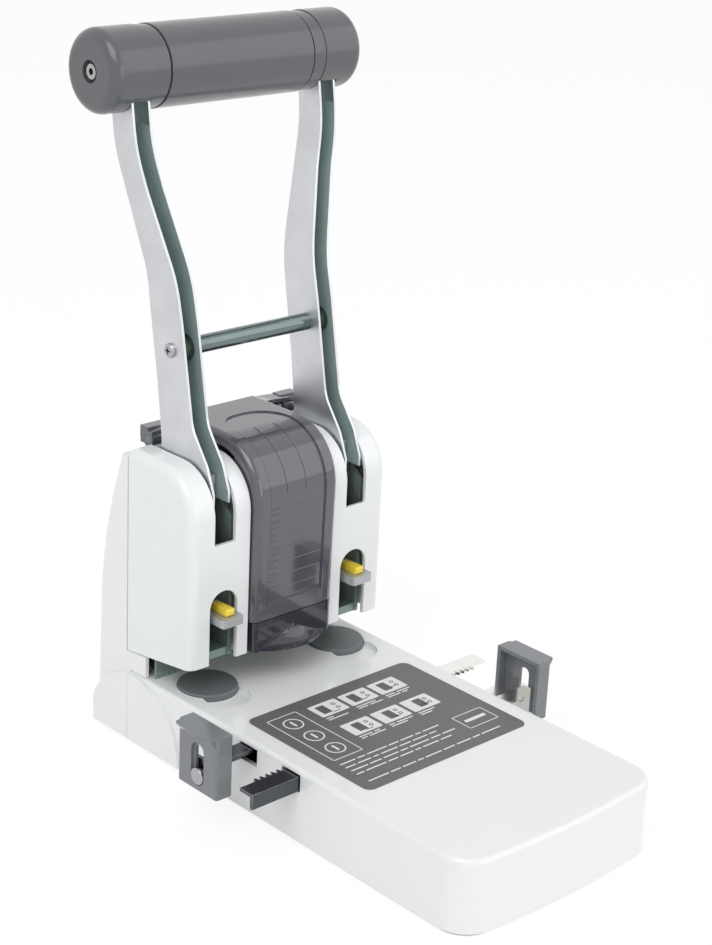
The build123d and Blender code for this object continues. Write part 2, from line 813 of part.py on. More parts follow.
with BuildPart() as tie_bar_spacers:
    for _, side in SIDES:
        with BuildSketch(Plane.YZ.offset(side * (arm_inner_x + arm_sheet))):
            with Locations((tie_bar_y, tie_bar_z)):
                Circle(tie_bush_radius)
            with Locations((tie_bar_y, tie_bar_z)):
                Circle(tie_shank_radius, mode=Mode.SUBTRACT)
        extrude(amount=side * (arm_width - 2 * arm_sheet))
write(tie_bar_spacers.part, "tie_bar_spacers")

with BuildPart() as tie_bar_screws:
    for _, side in SIDES:
        with BuildSketch(Plane.YZ.offset(side * (arm_inner_x - tie_screw_depth))):
            with Locations((tie_bar_y, tie_bar_z)):
                Circle(tie_shank_radius)
        extrude(amount=side * (arm_width + tie_screw_depth))
        with BuildSketch(Plane.YZ.offset(side * arm_outer_x)):
            with Locations((tie_bar_y, tie_bar_z)):
                Circle(tie_screw_radius)
        extrude(amount=side * screw_head_height)
    heads = tie_bar_screws.faces().filter_by(Axis.X).sort_by(Axis.X)
    for head in (heads[0], heads[-1]):
        fillet(head.edges(), radius=head_round)
    # Cross recess
    for _, side in SIDES:
        with BuildSketch(Plane.YZ.offset(side * (arm_outer_x + screw_head_height))):
            with Locations((tie_bar_y, tie_bar_z)):
                Rectangle(cross_length, cross_width)
                Rectangle(cross_width, cross_length)
        extrude(amount=-side * cross_depth, mode=Mode.SUBTRACT)
write(tie_bar_screws.part, "tie_bar_screws")

# ==== Grip ====
arm_top_x = punch_x + arm_top_offset

with BuildPart() as grip_rod:
    with BuildSketch(Plane.YZ.offset(-rod_half_length)):
        with Locations((grip_y, grip_z)):
            Circle(rod_radius)
    extrude(amount=2 * rod_half_length)
write(grip_rod.part, "grip_rod")

with BuildPart() as grip_sleeve:
    with BuildSketch(Plane.YZ.offset(-cap_inner_x + groove_width)):
        with Locations((grip_y, grip_z)):
            Circle(grip_radius)
            Circle(grip_radius - grip_wall, mode=Mode.SUBTRACT)
    extrude(amount=2 * (cap_inner_x - groove_width))
    # Ribs that rest on the rod
    for rib_x in (-cap_inner_x + groove_width, 0, cap_inner_x - groove_width):
        with BuildSketch(Plane.YZ.offset(rib_x - (rib_x > 0) * rib_width)):
            with Locations((grip_y, grip_z)):
                Circle(grip_radius - grip_wall)
                Circle(rod_radius, mode=Mode.SUBTRACT)
        extrude(amount=rib_width)
write(grip_sleeve.part, "grip_sleeve")

with BuildPart() as grip_cap:
    with BuildSketch(Plane.YZ.offset(cap_inner_x)):
        with Locations((grip_y, grip_z)):
            Circle(grip_radius - cap_step)
    extrude(amount=cap_step_x - cap_inner_x)
    with BuildSketch(Plane.YZ.offset(cap_step_x)):
        with Locations((grip_y, grip_z)):
            Circle(grip_radius)
    extrude(amount=grip_half_length - cap_step_x)
    fillet(grip_cap.faces().sort_by(Axis.X)[-1].edges(), radius=cap_edge_radius)
    # Hollow for the arm's end, with a mouth below for the arm
    with BuildSketch(Plane.YZ.offset(cap_inner_x)):
        with Locations((grip_y, grip_z)):
            Circle(grip_radius - grip_wall)
    extrude(amount=grip_half_length - cap_end_wall - cap_inner_x, mode=Mode.SUBTRACT)
    with BuildSketch(Plane.XY.offset(grip_z - grip_radius - 1.0)):
        with Locations((arm_top_x, grip_y - cap_mouth_set)):
            Rectangle(arm_width + 1.0, cap_mouth)
    extrude(amount=grip_radius - rod_radius, mode=Mode.SUBTRACT)
    # Tube from the end wall to the arm, round the rod
    with BuildSketch(Plane.YZ.offset(arm_top_x + arm_width / 2)):
        with Locations((grip_y, grip_z)):
            Circle(rod_radius + cap_tube_wall)
            Circle(rod_radius, mode=Mode.SUBTRACT)
    extrude(amount=grip_half_length - cap_end_wall - arm_top_x - arm_width / 2)
    with BuildSketch(Plane.YZ.offset(grip_half_length - cap_end_wall)):
        with Locations((grip_y, grip_z)):
            Circle(screw_radius)
    extrude(amount=cap_end_wall, mode=Mode.SUBTRACT)
    with BuildSketch(Plane.YZ.offset(grip_half_length)):
        with Locations((grip_y, grip_z)):
            Circle(end_recess_radius)
    extrude(amount=-end_recess_depth, mode=Mode.SUBTRACT)
write_pair(grip_cap.part, "grip_cap")

with BuildPart() as grip_screws:
    for _, side in SIDES:
        head_x = grip_half_length - end_recess_depth
        with BuildSketch(Plane.YZ.offset(side * head_x)):
            with Locations((grip_y, grip_z)):
                Circle(end_screw_radius)
        extrude(amount=side * screw_head_height)
        with BuildSketch(Plane.YZ.offset(side * rod_half_length)):
            with Locations((grip_y, grip_z)):
                Circle(screw_radius)
        extrude(amount=side * (head_x - rod_half_length))
        with BuildSketch(Plane.YZ.offset(side * (head_x + screw_head_height))):
            with Locations((grip_y, grip_z)):
                RegularPolygon(hex_radius, 6)
        extrude(amount=-side * hex_depth, mode=Mode.SUBTRACT)
write(grip_screws.part, "grip_screws")


# ==== Head covers ====
def pod_side(inset=0.0, below=0.0):
    """Draw a head cover from the side, set in by a wall and carried below its open bottom edge."""
    nose = pod_nose_radius - inset
    front = pod_front + inset
    top = pod_top - inset
    centre = (pod_front + pod_nose_radius, pod_top - pod_nose_radius)
    with BuildSketch() as side_view:
        with BuildLine():
            Polyline((centre[0], top), (pod_rear, top), (pod_rear, pod_bottom_rear - below),
                     (front, pod_bottom_front - below), (front, centre[1]))
            ThreePointArc((front, centre[1]),
                          (centre[0] - nose * sin(pi / 4), centre[1] + nose * cos(pi / 4)),
                          (centre[0], top))
        make_face()
    return side_view.sketch


with BuildPart() as pod_cover:
    with BuildSketch(Plane.YZ.offset(pod_inner_x)):
        add(pod_side())
    extrude(amount=pod_outer_x - pod_inner_x)
    outline = pod_cover.faces().sort_by(Axis.X)[-1].edges()
    rounded = [e for e in outline if e.center().Z > pod_bottom_front + 2 and e.center().Y < pod_rear - 1]
    fillet(rounded, radius=pod_edge_radius)
    with BuildSketch(Plane.YZ.offset(pod_inner_x + pod_inner_wall)):
        add(pod_side(pod_wall, below=pod_bottom_front - pod_bottom_rear + cut_over))
    extrude(amount=pod_outer_x - pod_wall - pod_inner_x - pod_inner_wall, mode=Mode.SUBTRACT)
    # Lever slot, window and chip port
    with BuildSketch(Plane.XY.offset(slot_bottom)):
        with Locations((punch_x, (pod_front + pod_rear) / 2)):
            Rectangle(2 * slot_half_width, pod_rear - pod_front + 2.0)
    extrude(amount=pod_top - slot_bottom + 1.0, mode=Mode.SUBTRACT)
    with BuildSketch(Plane.XZ.offset(-pod_front - pod_wall - 1.0)):
        with Locations((punch_x, window_spring_z)):
            Circle(window_half_width)
        with Locations((punch_x, (window_spring_z + pod_bottom_rear) / 2)):
            Rectangle(2 * window_half_width, window_spring_z - pod_bottom_rear)
    extrude(amount=pod_wall + 2.0, mode=Mode.SUBTRACT)
    with BuildSketch(Plane.YZ.offset(pod_inner_x)):
        with Locations((0, (port_low + port_high) / 2)):
            RectangleRounded(2 * port_half_width, port_high - port_low, 2.0)
        with Locations((pivot_y, pivot_z)):
            Circle(shaft_radius + shaft_hole_gap)
    extrude(amount=pod_inner_wall, mode=Mode.SUBTRACT)
    # Bosses that meet the tower's outer cheek
    with BuildSketch(Plane.YZ.offset(plate_out + sheet)):
        with Locations(*pod_screw_points):
            Circle(boss_radius)
            Circle(screw_radius, mode=Mode.SUBTRACT)
    extrude(amount=pod_outer_x - pod_boss_set - plate_out - sheet)
write_pair(pod_cover.part, "pod_cover")

with BuildPart() as pod_screws:
    for _, side in SIDES:
        with BuildSketch(Plane.YZ.offset(side * (plate_out - pod_head_height))):
            with Locations(*pod_screw_points):
                Circle(pod_head_radius)
        extrude(amount=side * pod_head_height)
        with BuildSketch(Plane.YZ.offset(side * plate_out)):
            with Locations(*pod_screw_points):
                Circle(screw_radius)
        extrude(amount=side * (sheet + pod_screw_reach))
write(pod_screws.part, "pod_screws")


def rear_side(inset=0.0, forward=0.0):
    """Draw the rear cover from the side: a back that leans forward towards the top."""
    points = [(y - inset, z) for y, z in rear_cover_back[:-1]]
    points += [(rear_cover_back[-1][0] - inset, rear_cover_top - inset)]
    points[0] = (points[0][0], mat_thickness - forward)
    lower_y = base_rear + seam_gap - forward
    upper_y = pod_rear + seam_gap - forward
    points += [(upper_y, rear_cover_top - inset), (upper_y, table_height + sill_gap),
               (lower_y, table_height + sill_gap), (lower_y, mat_thickness - forward)]
    with BuildSketch() as side_view:
        with BuildLine():
            Polyline(*points, close=True)
        make_face()
    return side_view.sketch


with BuildPart() as rear_cover:
    with BuildSketch(Plane.YZ):
        add(rear_side())
    extrude(amount=rear_half_width, both=True)
    back_edges = [e for e in rear_cover.edges()
                  if abs(e.center().X) > rear_half_width - 0.1 and e.center().Y > mat_rear - notch_length
                  and e.center().Z > rear_edge_radius]
    fillet(back_edges, radius=rear_edge_radius)
    with BuildSketch(Plane.YZ):
        add(bulge_outline(base_rear + seam_gap, bulge_centre_y + bulge_radius - bulge_end))
    extrude(amount=base_half_width + bulge_depth, both=True)
    with BuildSketch(Plane.YZ):
        add(rear_side(rear_wall, cut_over))
    extrude(amount=rear_half_width - rear_wall, both=True, mode=Mode.SUBTRACT)
    for _, side in SIDES:
        # Cheek that closes the throat's end
        with BuildSketch(Plane.YZ.offset(side * (rear_half_width - rear_wall))):
            with BuildLine():
                Polyline((rear_cover_cheek_y, table_height + cheek_gap),
                         (cheek_rear_y, table_height + cheek_gap),
                         (cheek_rear_y, cheek_top - 2.0), (rear_cover_cheek_y, cheek_top), close=True)
            make_face()
        extrude(amount=side * rear_wall)
        # Notch for the bin's hinge ear
        with BuildSketch(Plane.XY.offset(notch_bottom)):
            with Locations((side * (plate_in - sheet / 2), hinge_y + 1.0)):
                Rectangle(sheet + 2 * rack_slot_gap, notch_length)
        extrude(amount=cover_top - notch_bottom, mode=Mode.SUBTRACT)
        for height, boss_length in zip(cover_screw_heights, cover_boss_lengths):
            with BuildSketch(Plane.XZ.offset(-tower_rear)):
                with Locations((side * punch_x, height)):
                    Circle(boss_radius + 1.0)
            extrude(amount=-boss_length)
            with BuildSketch(Plane.XZ.offset(-tower_rear)):
                with Locations((side * punch_x, height)):
                    Circle(screw_radius)
            extrude(amount=-boss_length - cut_over, mode=Mode.SUBTRACT)
            with BuildSketch(Plane.XZ.offset(-tower_rear - cover_screw_grip)):
                with Locations((side * punch_x, height)):
                    Circle(screw_head_radius + head_recess)
            extrude(amount=-boss_length, mode=Mode.SUBTRACT)
write(rear_cover.part, "rear_cover")

with BuildPart() as cover_screws:
    for _, side in SIDES:
        for height in cover_screw_heights:
            with BuildSketch(Plane.XZ.offset(-tower_rear + sheet)):
                with Locations((side * punch_x, height)):
                    Circle(screw_radius)
            extrude(amount=-sheet - cover_screw_grip)
            with BuildSketch(Plane.XZ.offset(-tower_rear - cover_screw_grip)):
                with Locations((side * punch_x, height)):
                    Circle(screw_head_radius)
            extrude(amount=-screw_head_height)
write(cover_screws.part, "cover_screws")


# ==== Chip bin ====
def bin_side(inset=0.0, below=0.0):
    """Draw the bin's cover from the side: an upright front that arches into a flat top."""
    front = cover_front + inset
    top = cover_top - inset
    rear = hinge_y + knuckle_radius + strip_gap - inset
    nose = cover_nose_radius - inset
    centre = (cover_front + cover_nose_radius, cover_top - cover_nose_radius)
    with BuildSketch() as side_view:
        with BuildLine():
            Polyline((centre[0], top), (rear, top), (rear, cover_bottom - below),
                     (front + front_lean, cover_bottom - below), (front, centre[1]))
            ThreePointArc((front, centre[1]),
                          (centre[0] - nose * sin(pi / 4), centre[1] + nose * cos(pi / 4)),
                          (centre[0], top))
        make_face()
    return side_view.sketch


def strip_front(side, low=None):
    """Draw one side of the strip from the front: a curved band, or all of it down to a height."""
    ends = [side * (cover_half_width - strip_lap), side * knuckle_end_x]
    middle = (ends[0] + ends[1]) / 2
    top = [(x, cover_top - x * x / (2 * strip_crown)) for x in (ends[0], middle, ends[1])]
    below = [(x, z - cover_wall if low is None else low) for x, z in top[::-1]]
    with BuildSketch() as front_view:
        with BuildLine():
            ThreePointArc(*top)
            Line(top[2], below[0])
            if low is None:
                ThreePointArc(*below)
            else:
                Line(below[0], below[2])
            Line(below[2], top[0])
        make_face()
    return front_view.sketch


strip_rear = hinge_y + knuckle_radius + strip_gap
strip_bottom = hinge_z - 2.5
side_rear = -4.0            # the bin cover's deep sides end here
side_flange = 4.0           # behind that, its edges turn down by this much
pin_room_y = hinge_y - 5.0
# What the shallow panel takes off the cover: square at the bottom, round at its rear end
with BuildPart() as panel:
    panel_length = panel_end_y - cover_front + panel_corner
    with BuildSketch(Plane.XY.offset(panel_bottom)):
        with Locations((0, panel_end_y - panel_length / 2)):
            RectangleRounded(2 * panel_half_width, panel_length, panel_corner)
    extrude(amount=cover_top - panel_bottom + cut_over)
    with BuildSketch(Plane.YZ):
        add(bin_side(panel_depth, cut_over))
    extrude(amount=panel_half_width + cut_over, both=True, mode=Mode.SUBTRACT)

with BuildPart() as waste_cover:
    with BuildSketch(Plane.YZ):
        add(bin_side())
    extrude(amount=cover_half_width, both=True)
    crown = [e for e in waste_cover.edges()
             if abs(e.center().X) > cover_half_width - 0.1 and e.center().Y < pod_rear
             and e.center().Z > cover_bottom + cover_edge_radius]
    fillet(crown, radius=cover_edge_radius)
    with BuildSketch(Plane.YZ):
        add(bin_side(cover_wall, cut_over))
    extrude(amount=cover_half_width - cover_wall, both=True, mode=Mode.SUBTRACT)
    add(panel.part, mode=Mode.SUBTRACT)
    # Only the front keeps its sides, and the back ends just below the hinge
    with BuildSketch(Plane.XY.offset(cover_bottom - 1.0)):
        with Locations((0, (side_rear + strip_rear + cut_over) / 2)):
            Rectangle(2 * cover_half_width + 2.0, strip_rear + cut_over - side_rear)
    extrude(amount=strip_bottom - cover_bottom + 1.0, mode=Mode.SUBTRACT)
    with BuildSketch(Plane.YZ):
        add(bin_side(cover_wall + side_flange, cut_over))
        with Locations(((side_rear + pin_room_y) / 2, cover_top / 2)):
            Rectangle(pin_room_y - side_rear, cover_top, mode=Mode.INTERSECT)
    extrude(amount=cover_half_width + 1.0, both=True, mode=Mode.SUBTRACT)
    with BuildSketch(Plane.XY.offset(strip_bottom - 1.0)):
        with Locations((0, (strip_rear - cover_wall + pin_room_y) / 2)):
            Rectangle(2 * cover_half_width + 2.0, strip_rear - cover_wall - pin_room_y)
    extrude(amount=cover_top - cover_wall - strip_bottom + 1.0, mode=Mode.SUBTRACT)
    # Strip behind the arms, lower towards its ends, with its knuckles on the hinge pin
    for _, side in SIDES:
        for low, front in ((None, pod_rear + strip_start), (strip_bottom, strip_rear - cover_wall)):
            with BuildSketch(Plane.XZ.offset(-front)):
                add(strip_front(side, low))
            extrude(amount=front - strip_rear)
        with BuildSketch(Plane.YZ.offset(side * (plate_in + 1.0))):
            with Locations((hinge_y, hinge_z)):
                Circle(knuckle_radius)
            with Locations((hinge_y + knuckle_block / 2, hinge_z + knuckle_block / 2)):
                Rectangle(knuckle_block, knuckle_block)
            with Locations((hinge_y, hinge_z)):
                Circle(hinge_pin_radius + running_gap, mode=Mode.SUBTRACT)
        extrude(amount=side * (knuckle_end_x - plate_in - 1.0))
write(waste_cover.part, "waste_cover")

with BuildPart() as cover_hinge_pin:
    with BuildSketch(Plane.YZ.offset(-knuckle_end_x)):
        with Locations((hinge_y, hinge_z)):
            Circle(hinge_pin_radius)
    extrude(amount=2 * knuckle_end_x)
write(cover_hinge_pin.part, "cover_hinge_pin")

with BuildPart() as chip_hopper:
    # Shelf, back wall and the flanges that meet the head covers
    with BuildSketch(Plane.XY.offset(drawer_bottom - running_gap - hopper_wall)):
        with Locations((0, (hopper_front_y + hopper_rear_y) / 2)):
            Rectangle(2 * pod_inner_x, hopper_rear_y - hopper_front_y)
    extrude(amount=hopper_wall)
    with BuildSketch(Plane.XY.offset(drawer_bottom - running_gap)):
        with Locations((0, hopper_rear_y - hopper_wall / 2)):
            Rectangle(2 * pod_inner_x, hopper_wall)
        for _, side in SIDES:
            with Locations((side * (pod_inner_x - hopper_wall / 2), hopper_rear_y - hopper_side / 2)):
                Rectangle(hopper_wall, hopper_side)
    extrude(amount=hopper_top - drawer_bottom)
write(chip_hopper.part, "chip_hopper")

# Finger scoop that flares forward: a hollow cone's front, so its outline on the drawer is an arch
with BuildPart() as scoop:
    scoop_y = cover_front + 1.0
    lip_radius = (scoop_half_width ** 2 + scoop_lip ** 2) / (2 * scoop_lip)
    root_radius = lip_radius - scoop_lip
    scoop_axis_y = scoop_y + root_radius
    with BuildSketch(Plane(origin=(0, scoop_axis_y, 0), x_dir=(0, -1, 0), z_dir=(-1, 0, 0))):
        with BuildLine():
            Polyline((root_radius, drawer_bottom + scoop_height), (drawer_wall, drawer_bottom + scoop_height),
                     (drawer_wall, drawer_bottom), (lip_radius, drawer_bottom),
                     (lip_radius, drawer_bottom + scoop_edge))
            ThreePointArc((lip_radius, drawer_bottom + scoop_edge),
                          (root_radius + scoop_bend * scoop_lip, drawer_bottom + scoop_bend * scoop_height),
                          (root_radius, drawer_bottom + scoop_height))
        make_face()
    revolve(axis=Axis((0, scoop_axis_y, 0), (0, 0, 1)))
    with BuildSketch(Plane.XY.offset(drawer_bottom)):
        with Locations((0, scoop_y + drawer_wall / 2 - scoop_lip)):
            Rectangle(2 * (drawer_half_width - scoop_side_set), 2 * scoop_lip + drawer_wall)
    extrude(amount=scoop_height, mode=Mode.INTERSECT)

with BuildPart() as chip_drawer:
    drawer_top = cover_bottom - seam_gap
    drawer_length = drawer_rear_y - cover_front - 1.0
    drawer_centre = (drawer_rear_y + cover_front + 1.0) / 2
    with BuildSketch(Plane.XY.offset(drawer_bottom)):
        with Locations((0, drawer_centre)):
            RectangleRounded(2 * drawer_half_width, drawer_length, 2.0)
    extrude(amount=drawer_top - drawer_bottom)
    with BuildSketch(Plane.XY.offset(drawer_bottom + drawer_wall)):
        with Locations((0, drawer_centre)):
            RectangleRounded(2 * (drawer_half_width - drawer_wall), drawer_length - 2 * drawer_wall, 1.0)
    extrude(amount=drawer_top - drawer_bottom, mode=Mode.SUBTRACT)
    add(scoop.part)
write(chip_drawer.part, "chip_drawer")

# ==== Side guides and their racks ====
bridge_top = rack_top - rack_sheet - running_gap
post_radius = 3.0
pinion_bottom = bridge_top + running_gap
pinion_tip = pitch_radius + module
tooth_dedendum = 1.25 * module
pressure_angle = radians(20.0)
base_circle = pitch_radius * cos(pressure_angle)

with BuildPart() as rack_bridge:
    bridge_half_y = pitch_radius - module + rack_width - rack_sheet - 1.0
    with BuildSketch(Plane.XY.offset(plate_top)):
        with Locations((0, pinion_y)):
            RectangleRounded(bridge_length, 2 * bridge_half_y, boss_radius)
    extrude(amount=bridge_top - plate_top)
    with BuildSketch(Plane.XY.offset(plate_top)):
        with Locations((0, pinion_y)):
            RectangleRounded(bridge_length - 2 * bridge_wall, 2 * (bridge_half_y - bridge_wall), 1.0)
    extrude(amount=bridge_top - plate_top - bridge_wall, mode=Mode.SUBTRACT)
    with BuildSketch(Plane.XY.offset(bridge_top - bridge_wall)):
        with Locations((0, pinion_y)):
            Circle(post_radius)
    extrude(amount=bridge_wall + running_gap + pinion_thickness)
write(rack_bridge.part, "rack_bridge")


def involute(turn, flip):
    """Return a point of the tooth flank, on the pinion's front side, for an unwinding angle."""
    across = base_circle * (sin(turn) - turn * cos(turn))
    along = base_circle * (cos(turn) + turn * sin(turn))
    lean = (pi / 2 - tooth_backlash) / (2 * pitch_radius) + tan(pressure_angle) - pressure_angle
    turned_across = along * sin(lean) - across * cos(lean)
    turned_along = along * cos(lean) + across * sin(lean)
    return (flip * turned_across, -turned_along)


with BuildPart() as pinion:
    tip_turn = sqrt((pinion_tip / base_circle) ** 2 - 1)
    root = pitch_radius - tooth_dedendum
    with BuildSketch(Plane.XY.offset(pinion_bottom)):
        with Locations((0, pinion_y)):
            Circle(root)
            with PolarLocations(0, pinion_teeth):
                with BuildLine(mode=Mode.PRIVATE) as flank_lines:
                    sides = []
                    for flip in (-1, 1):
                        sides.append([involute(turn, flip) for turn in (0, tip_turn / 2, tip_turn)])
                    ThreePointArc(*sides[0])
                    Line(sides[0][2], sides[1][2])
                    ThreePointArc(*sides[1])
                    root_z = -root + tooth_root_sink
                    Polyline(sides[1][0], (sides[1][0][0], root_z), (sides[0][0][0], root_z), sides[0][0])
                add(make_face(flank_lines.edges(), mode=Mode.PRIVATE))
        with Locations((0, pinion_y)):
            Circle(post_radius + running_gap, mode=Mode.SUBTRACT)
    extrude(amount=pinion_thickness)
write(pinion.part, "pinion")

with BuildPart() as front_rack:
    tooth_half = (pi / 2 * module - tooth_backlash) / 2
    tip_half = tooth_half - tan(pressure_angle) * module
    root_half = tooth_half + tan(pressure_angle) * tooth_dedendum
    tip_y = pinion_y - pitch_radius + module
    root_y = pinion_y - pitch_radius - tooth_dedendum
    flange_y = tip_y - rack_width
    with BuildSketch(Plane.XY.offset(rack_top - rack_sheet)):
        with BuildLine():
            Polyline((-rack_free_end, root_y), (rack_tab_x, root_y), (rack_tab_x, flange_y),
                     (-rack_free_end, flange_y), close=True)
        make_face()
        for count in range(rack_teeth_count):
            tooth_x = (count - rack_teeth_left + 0.5) * pi * module
            with BuildLine():
                Polyline((tooth_x - root_half, root_y - tooth_root_sink), (tooth_x - root_half, root_y),
                         (tooth_x - tip_half, tip_y), (tooth_x + tip_half, tip_y),
                         (tooth_x + root_half, root_y), (tooth_x + root_half, root_y - tooth_root_sink),
                         close=True)
            make_face()
    extrude(amount=rack_sheet)
    with BuildSketch(Plane.XY.offset(rack_top - rack_flange_drop)):
        with Locations(((rack_tab_x - rack_sheet - rack_free_end) / 2, flange_y + rack_sheet / 2)):
            Rectangle(rack_tab_x - rack_sheet + rack_free_end, rack_sheet)
    extrude(amount=rack_flange_drop - rack_sheet)
    # Tab at the guide's end, bent down, with the hole for the stud
    with BuildSketch(Plane.YZ.offset(rack_tab_x - rack_sheet)):
        with Locations((right_guide_y, (rack_top + stud_z - tab_below_stud) / 2)):
            Rectangle(rack_tab_width, rack_top - stud_z + tab_below_stud)
        with Locations((right_guide_y, stud_z)):
            Circle(stud_shank_radius, mode=Mode.SUBTRACT)
    extrude(amount=rack_sheet)


def opposite(part):
    """Turn a finished piece half a turn about the pinion's axis."""
    return Pos(0, pinion_y, 0) * Rot(0, 0, 180) * Pos(0, -pinion_y, 0) * part


write(front_rack.part, "rack_front")
write(opposite(front_rack.part), "rack_rear")

with BuildPart() as guide_stud:
    with BuildSketch(Plane.YZ.offset(rack_tab_x - rack_sheet)):
        with Locations((right_guide_y, stud_z)):
            Circle(stud_shank_radius)
    extrude(amount=guide_outer_x - guide_recess + slide_gap - rack_tab_x + rack_sheet)
    with BuildSketch(Plane.YZ.offset(guide_outer_x - guide_recess + slide_gap)):
        with Locations((right_guide_y, stud_z)):
            Circle(stud_radius)
    extrude(amount=stud_head_height)
    fillet(guide_stud.faces().sort_by(Axis.X)[-1].edges(), radius=stud_round)
write(guide_stud.part, "guide_stud_right")
write(opposite(guide_stud.part), "guide_stud_left")

with BuildPart() as paper_guide:
    wall_x = rack_tab_x + slide_gap
    with BuildSketch(Plane.XY.offset(guide_top - guide_height)):
        with Locations(((guide_inner_x + guide_outer_x) / 2, right_guide_y)):
            Rectangle(guide_outer_x - guide_inner_x, guide_length)
    extrude(amount=guide_height)
    fillet(paper_guide.edges().filter_by(Axis.Z).sort_by(Axis.X)[-2:], radius=guide_round)
    # Lip that flares outwards at the top
    with BuildSketch(Plane.XZ.offset(-right_guide_y - guide_length / 2 + guide_round)):
        with BuildLine():
            Polyline((guide_outer_x - 1.0, guide_top - lip_height), (guide_outer_x, guide_top - lip_height),
                     (guide_outer_x + guide_lip, guide_top - lip_edge),
                     (guide_outer_x + guide_lip, guide_top),
                     (guide_outer_x - 1.0, guide_top), close=True)
        make_face()
    extrude(amount=guide_length - 2 * guide_round)
    # Hollow, open below and towards the base
    with BuildSketch(Plane.XY.offset(guide_top - guide_height)):
        with Locations(((guide_inner_x + wall_x) / 2 - 1.0, right_guide_y)):
            Rectangle(wall_x - guide_inner_x + 2.0, guide_length - 2 * guide_wall)
    extrude(amount=guide_height - guide_wall, mode=Mode.SUBTRACT)
    # Upright slot for the stud: wide outside for its head, narrow through the wall
    slot_low = stud_z
    slot_high = stud_z + guide_drop
    for slot_x, half_slot, depth in ((guide_outer_x, stud_radius + slide_gap, guide_recess),
                                     (guide_outer_x, stud_shank_radius + slide_gap,
                                      guide_outer_x - guide_inner_x)):
        with BuildSketch(Plane.YZ.offset(slot_x)):
            with Locations((right_guide_y, (slot_low + slot_high) / 2)):
                SlotCenterToCenter(slot_high - slot_low, 2 * half_slot, rotation=90)
        extrude(amount=-depth, mode=Mode.SUBTRACT)
write(paper_guide.part, "paper_guide_right")
write(opposite(paper_guide.part), "paper_guide_left")
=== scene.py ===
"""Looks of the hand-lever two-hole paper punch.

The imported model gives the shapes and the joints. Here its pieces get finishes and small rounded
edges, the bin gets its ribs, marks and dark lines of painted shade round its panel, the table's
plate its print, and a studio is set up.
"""
import json
import logging
import math
from dataclasses import dataclass, field
from enum import Enum

import bmesh
import bpy
from mathutils import Matrix, Vector
from mathutils.bvhtree import BVHTree

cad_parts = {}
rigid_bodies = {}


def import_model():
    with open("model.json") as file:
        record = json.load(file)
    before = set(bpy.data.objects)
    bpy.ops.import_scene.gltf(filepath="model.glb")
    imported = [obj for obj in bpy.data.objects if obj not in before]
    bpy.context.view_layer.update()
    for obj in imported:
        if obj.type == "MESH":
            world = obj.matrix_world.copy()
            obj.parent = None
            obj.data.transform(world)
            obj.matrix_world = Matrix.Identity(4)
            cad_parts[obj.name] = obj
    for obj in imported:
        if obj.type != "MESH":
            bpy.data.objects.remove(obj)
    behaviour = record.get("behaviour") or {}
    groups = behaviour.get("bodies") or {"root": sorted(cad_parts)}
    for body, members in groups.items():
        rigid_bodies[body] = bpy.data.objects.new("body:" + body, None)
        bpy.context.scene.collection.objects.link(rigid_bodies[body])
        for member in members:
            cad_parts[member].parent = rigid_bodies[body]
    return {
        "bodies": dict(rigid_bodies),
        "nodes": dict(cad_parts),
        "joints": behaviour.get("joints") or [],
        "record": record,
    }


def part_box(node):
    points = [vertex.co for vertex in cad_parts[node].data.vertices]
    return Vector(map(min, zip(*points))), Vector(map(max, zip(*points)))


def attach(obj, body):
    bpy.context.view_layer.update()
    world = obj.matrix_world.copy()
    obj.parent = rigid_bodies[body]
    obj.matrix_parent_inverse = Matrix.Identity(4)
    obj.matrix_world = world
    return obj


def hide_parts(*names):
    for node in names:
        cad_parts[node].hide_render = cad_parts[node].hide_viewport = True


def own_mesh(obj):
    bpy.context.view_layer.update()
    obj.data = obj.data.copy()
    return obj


LOG = logging.getLogger("hole_punch")
MM = 0.001

Pair = tuple[float, float]
Triple = tuple[float, float, float]
Outline = list[Pair]


class Side(Enum):
    """The two sides of the machine, as the person at the lever sees them."""

    LEFT = -1
    RIGHT = 1

    @property
    def word(self) -> str:
        """The side's name as the frame's nodes spell it."""
        return self.name.lower()


def both(stem: str) -> list[str]:
    """Name a pair of nodes.

    Args:
        stem: The name without its side.

    Returns:
        The left node's name and the right one's.
    """
    return [f"{stem}_{side.word}" for side in Side]


def placed(name: str, data: bpy.types.ID) -> bpy.types.Object:
    """Put a new object in the scene.

    Args:
        name: The object's name.
        data: Its mesh, lamp or camera data.

    Returns:
        The object.
    """
    item = bpy.data.objects.new(name, data)
    bpy.context.scene.collection.objects.link(item)
    return item


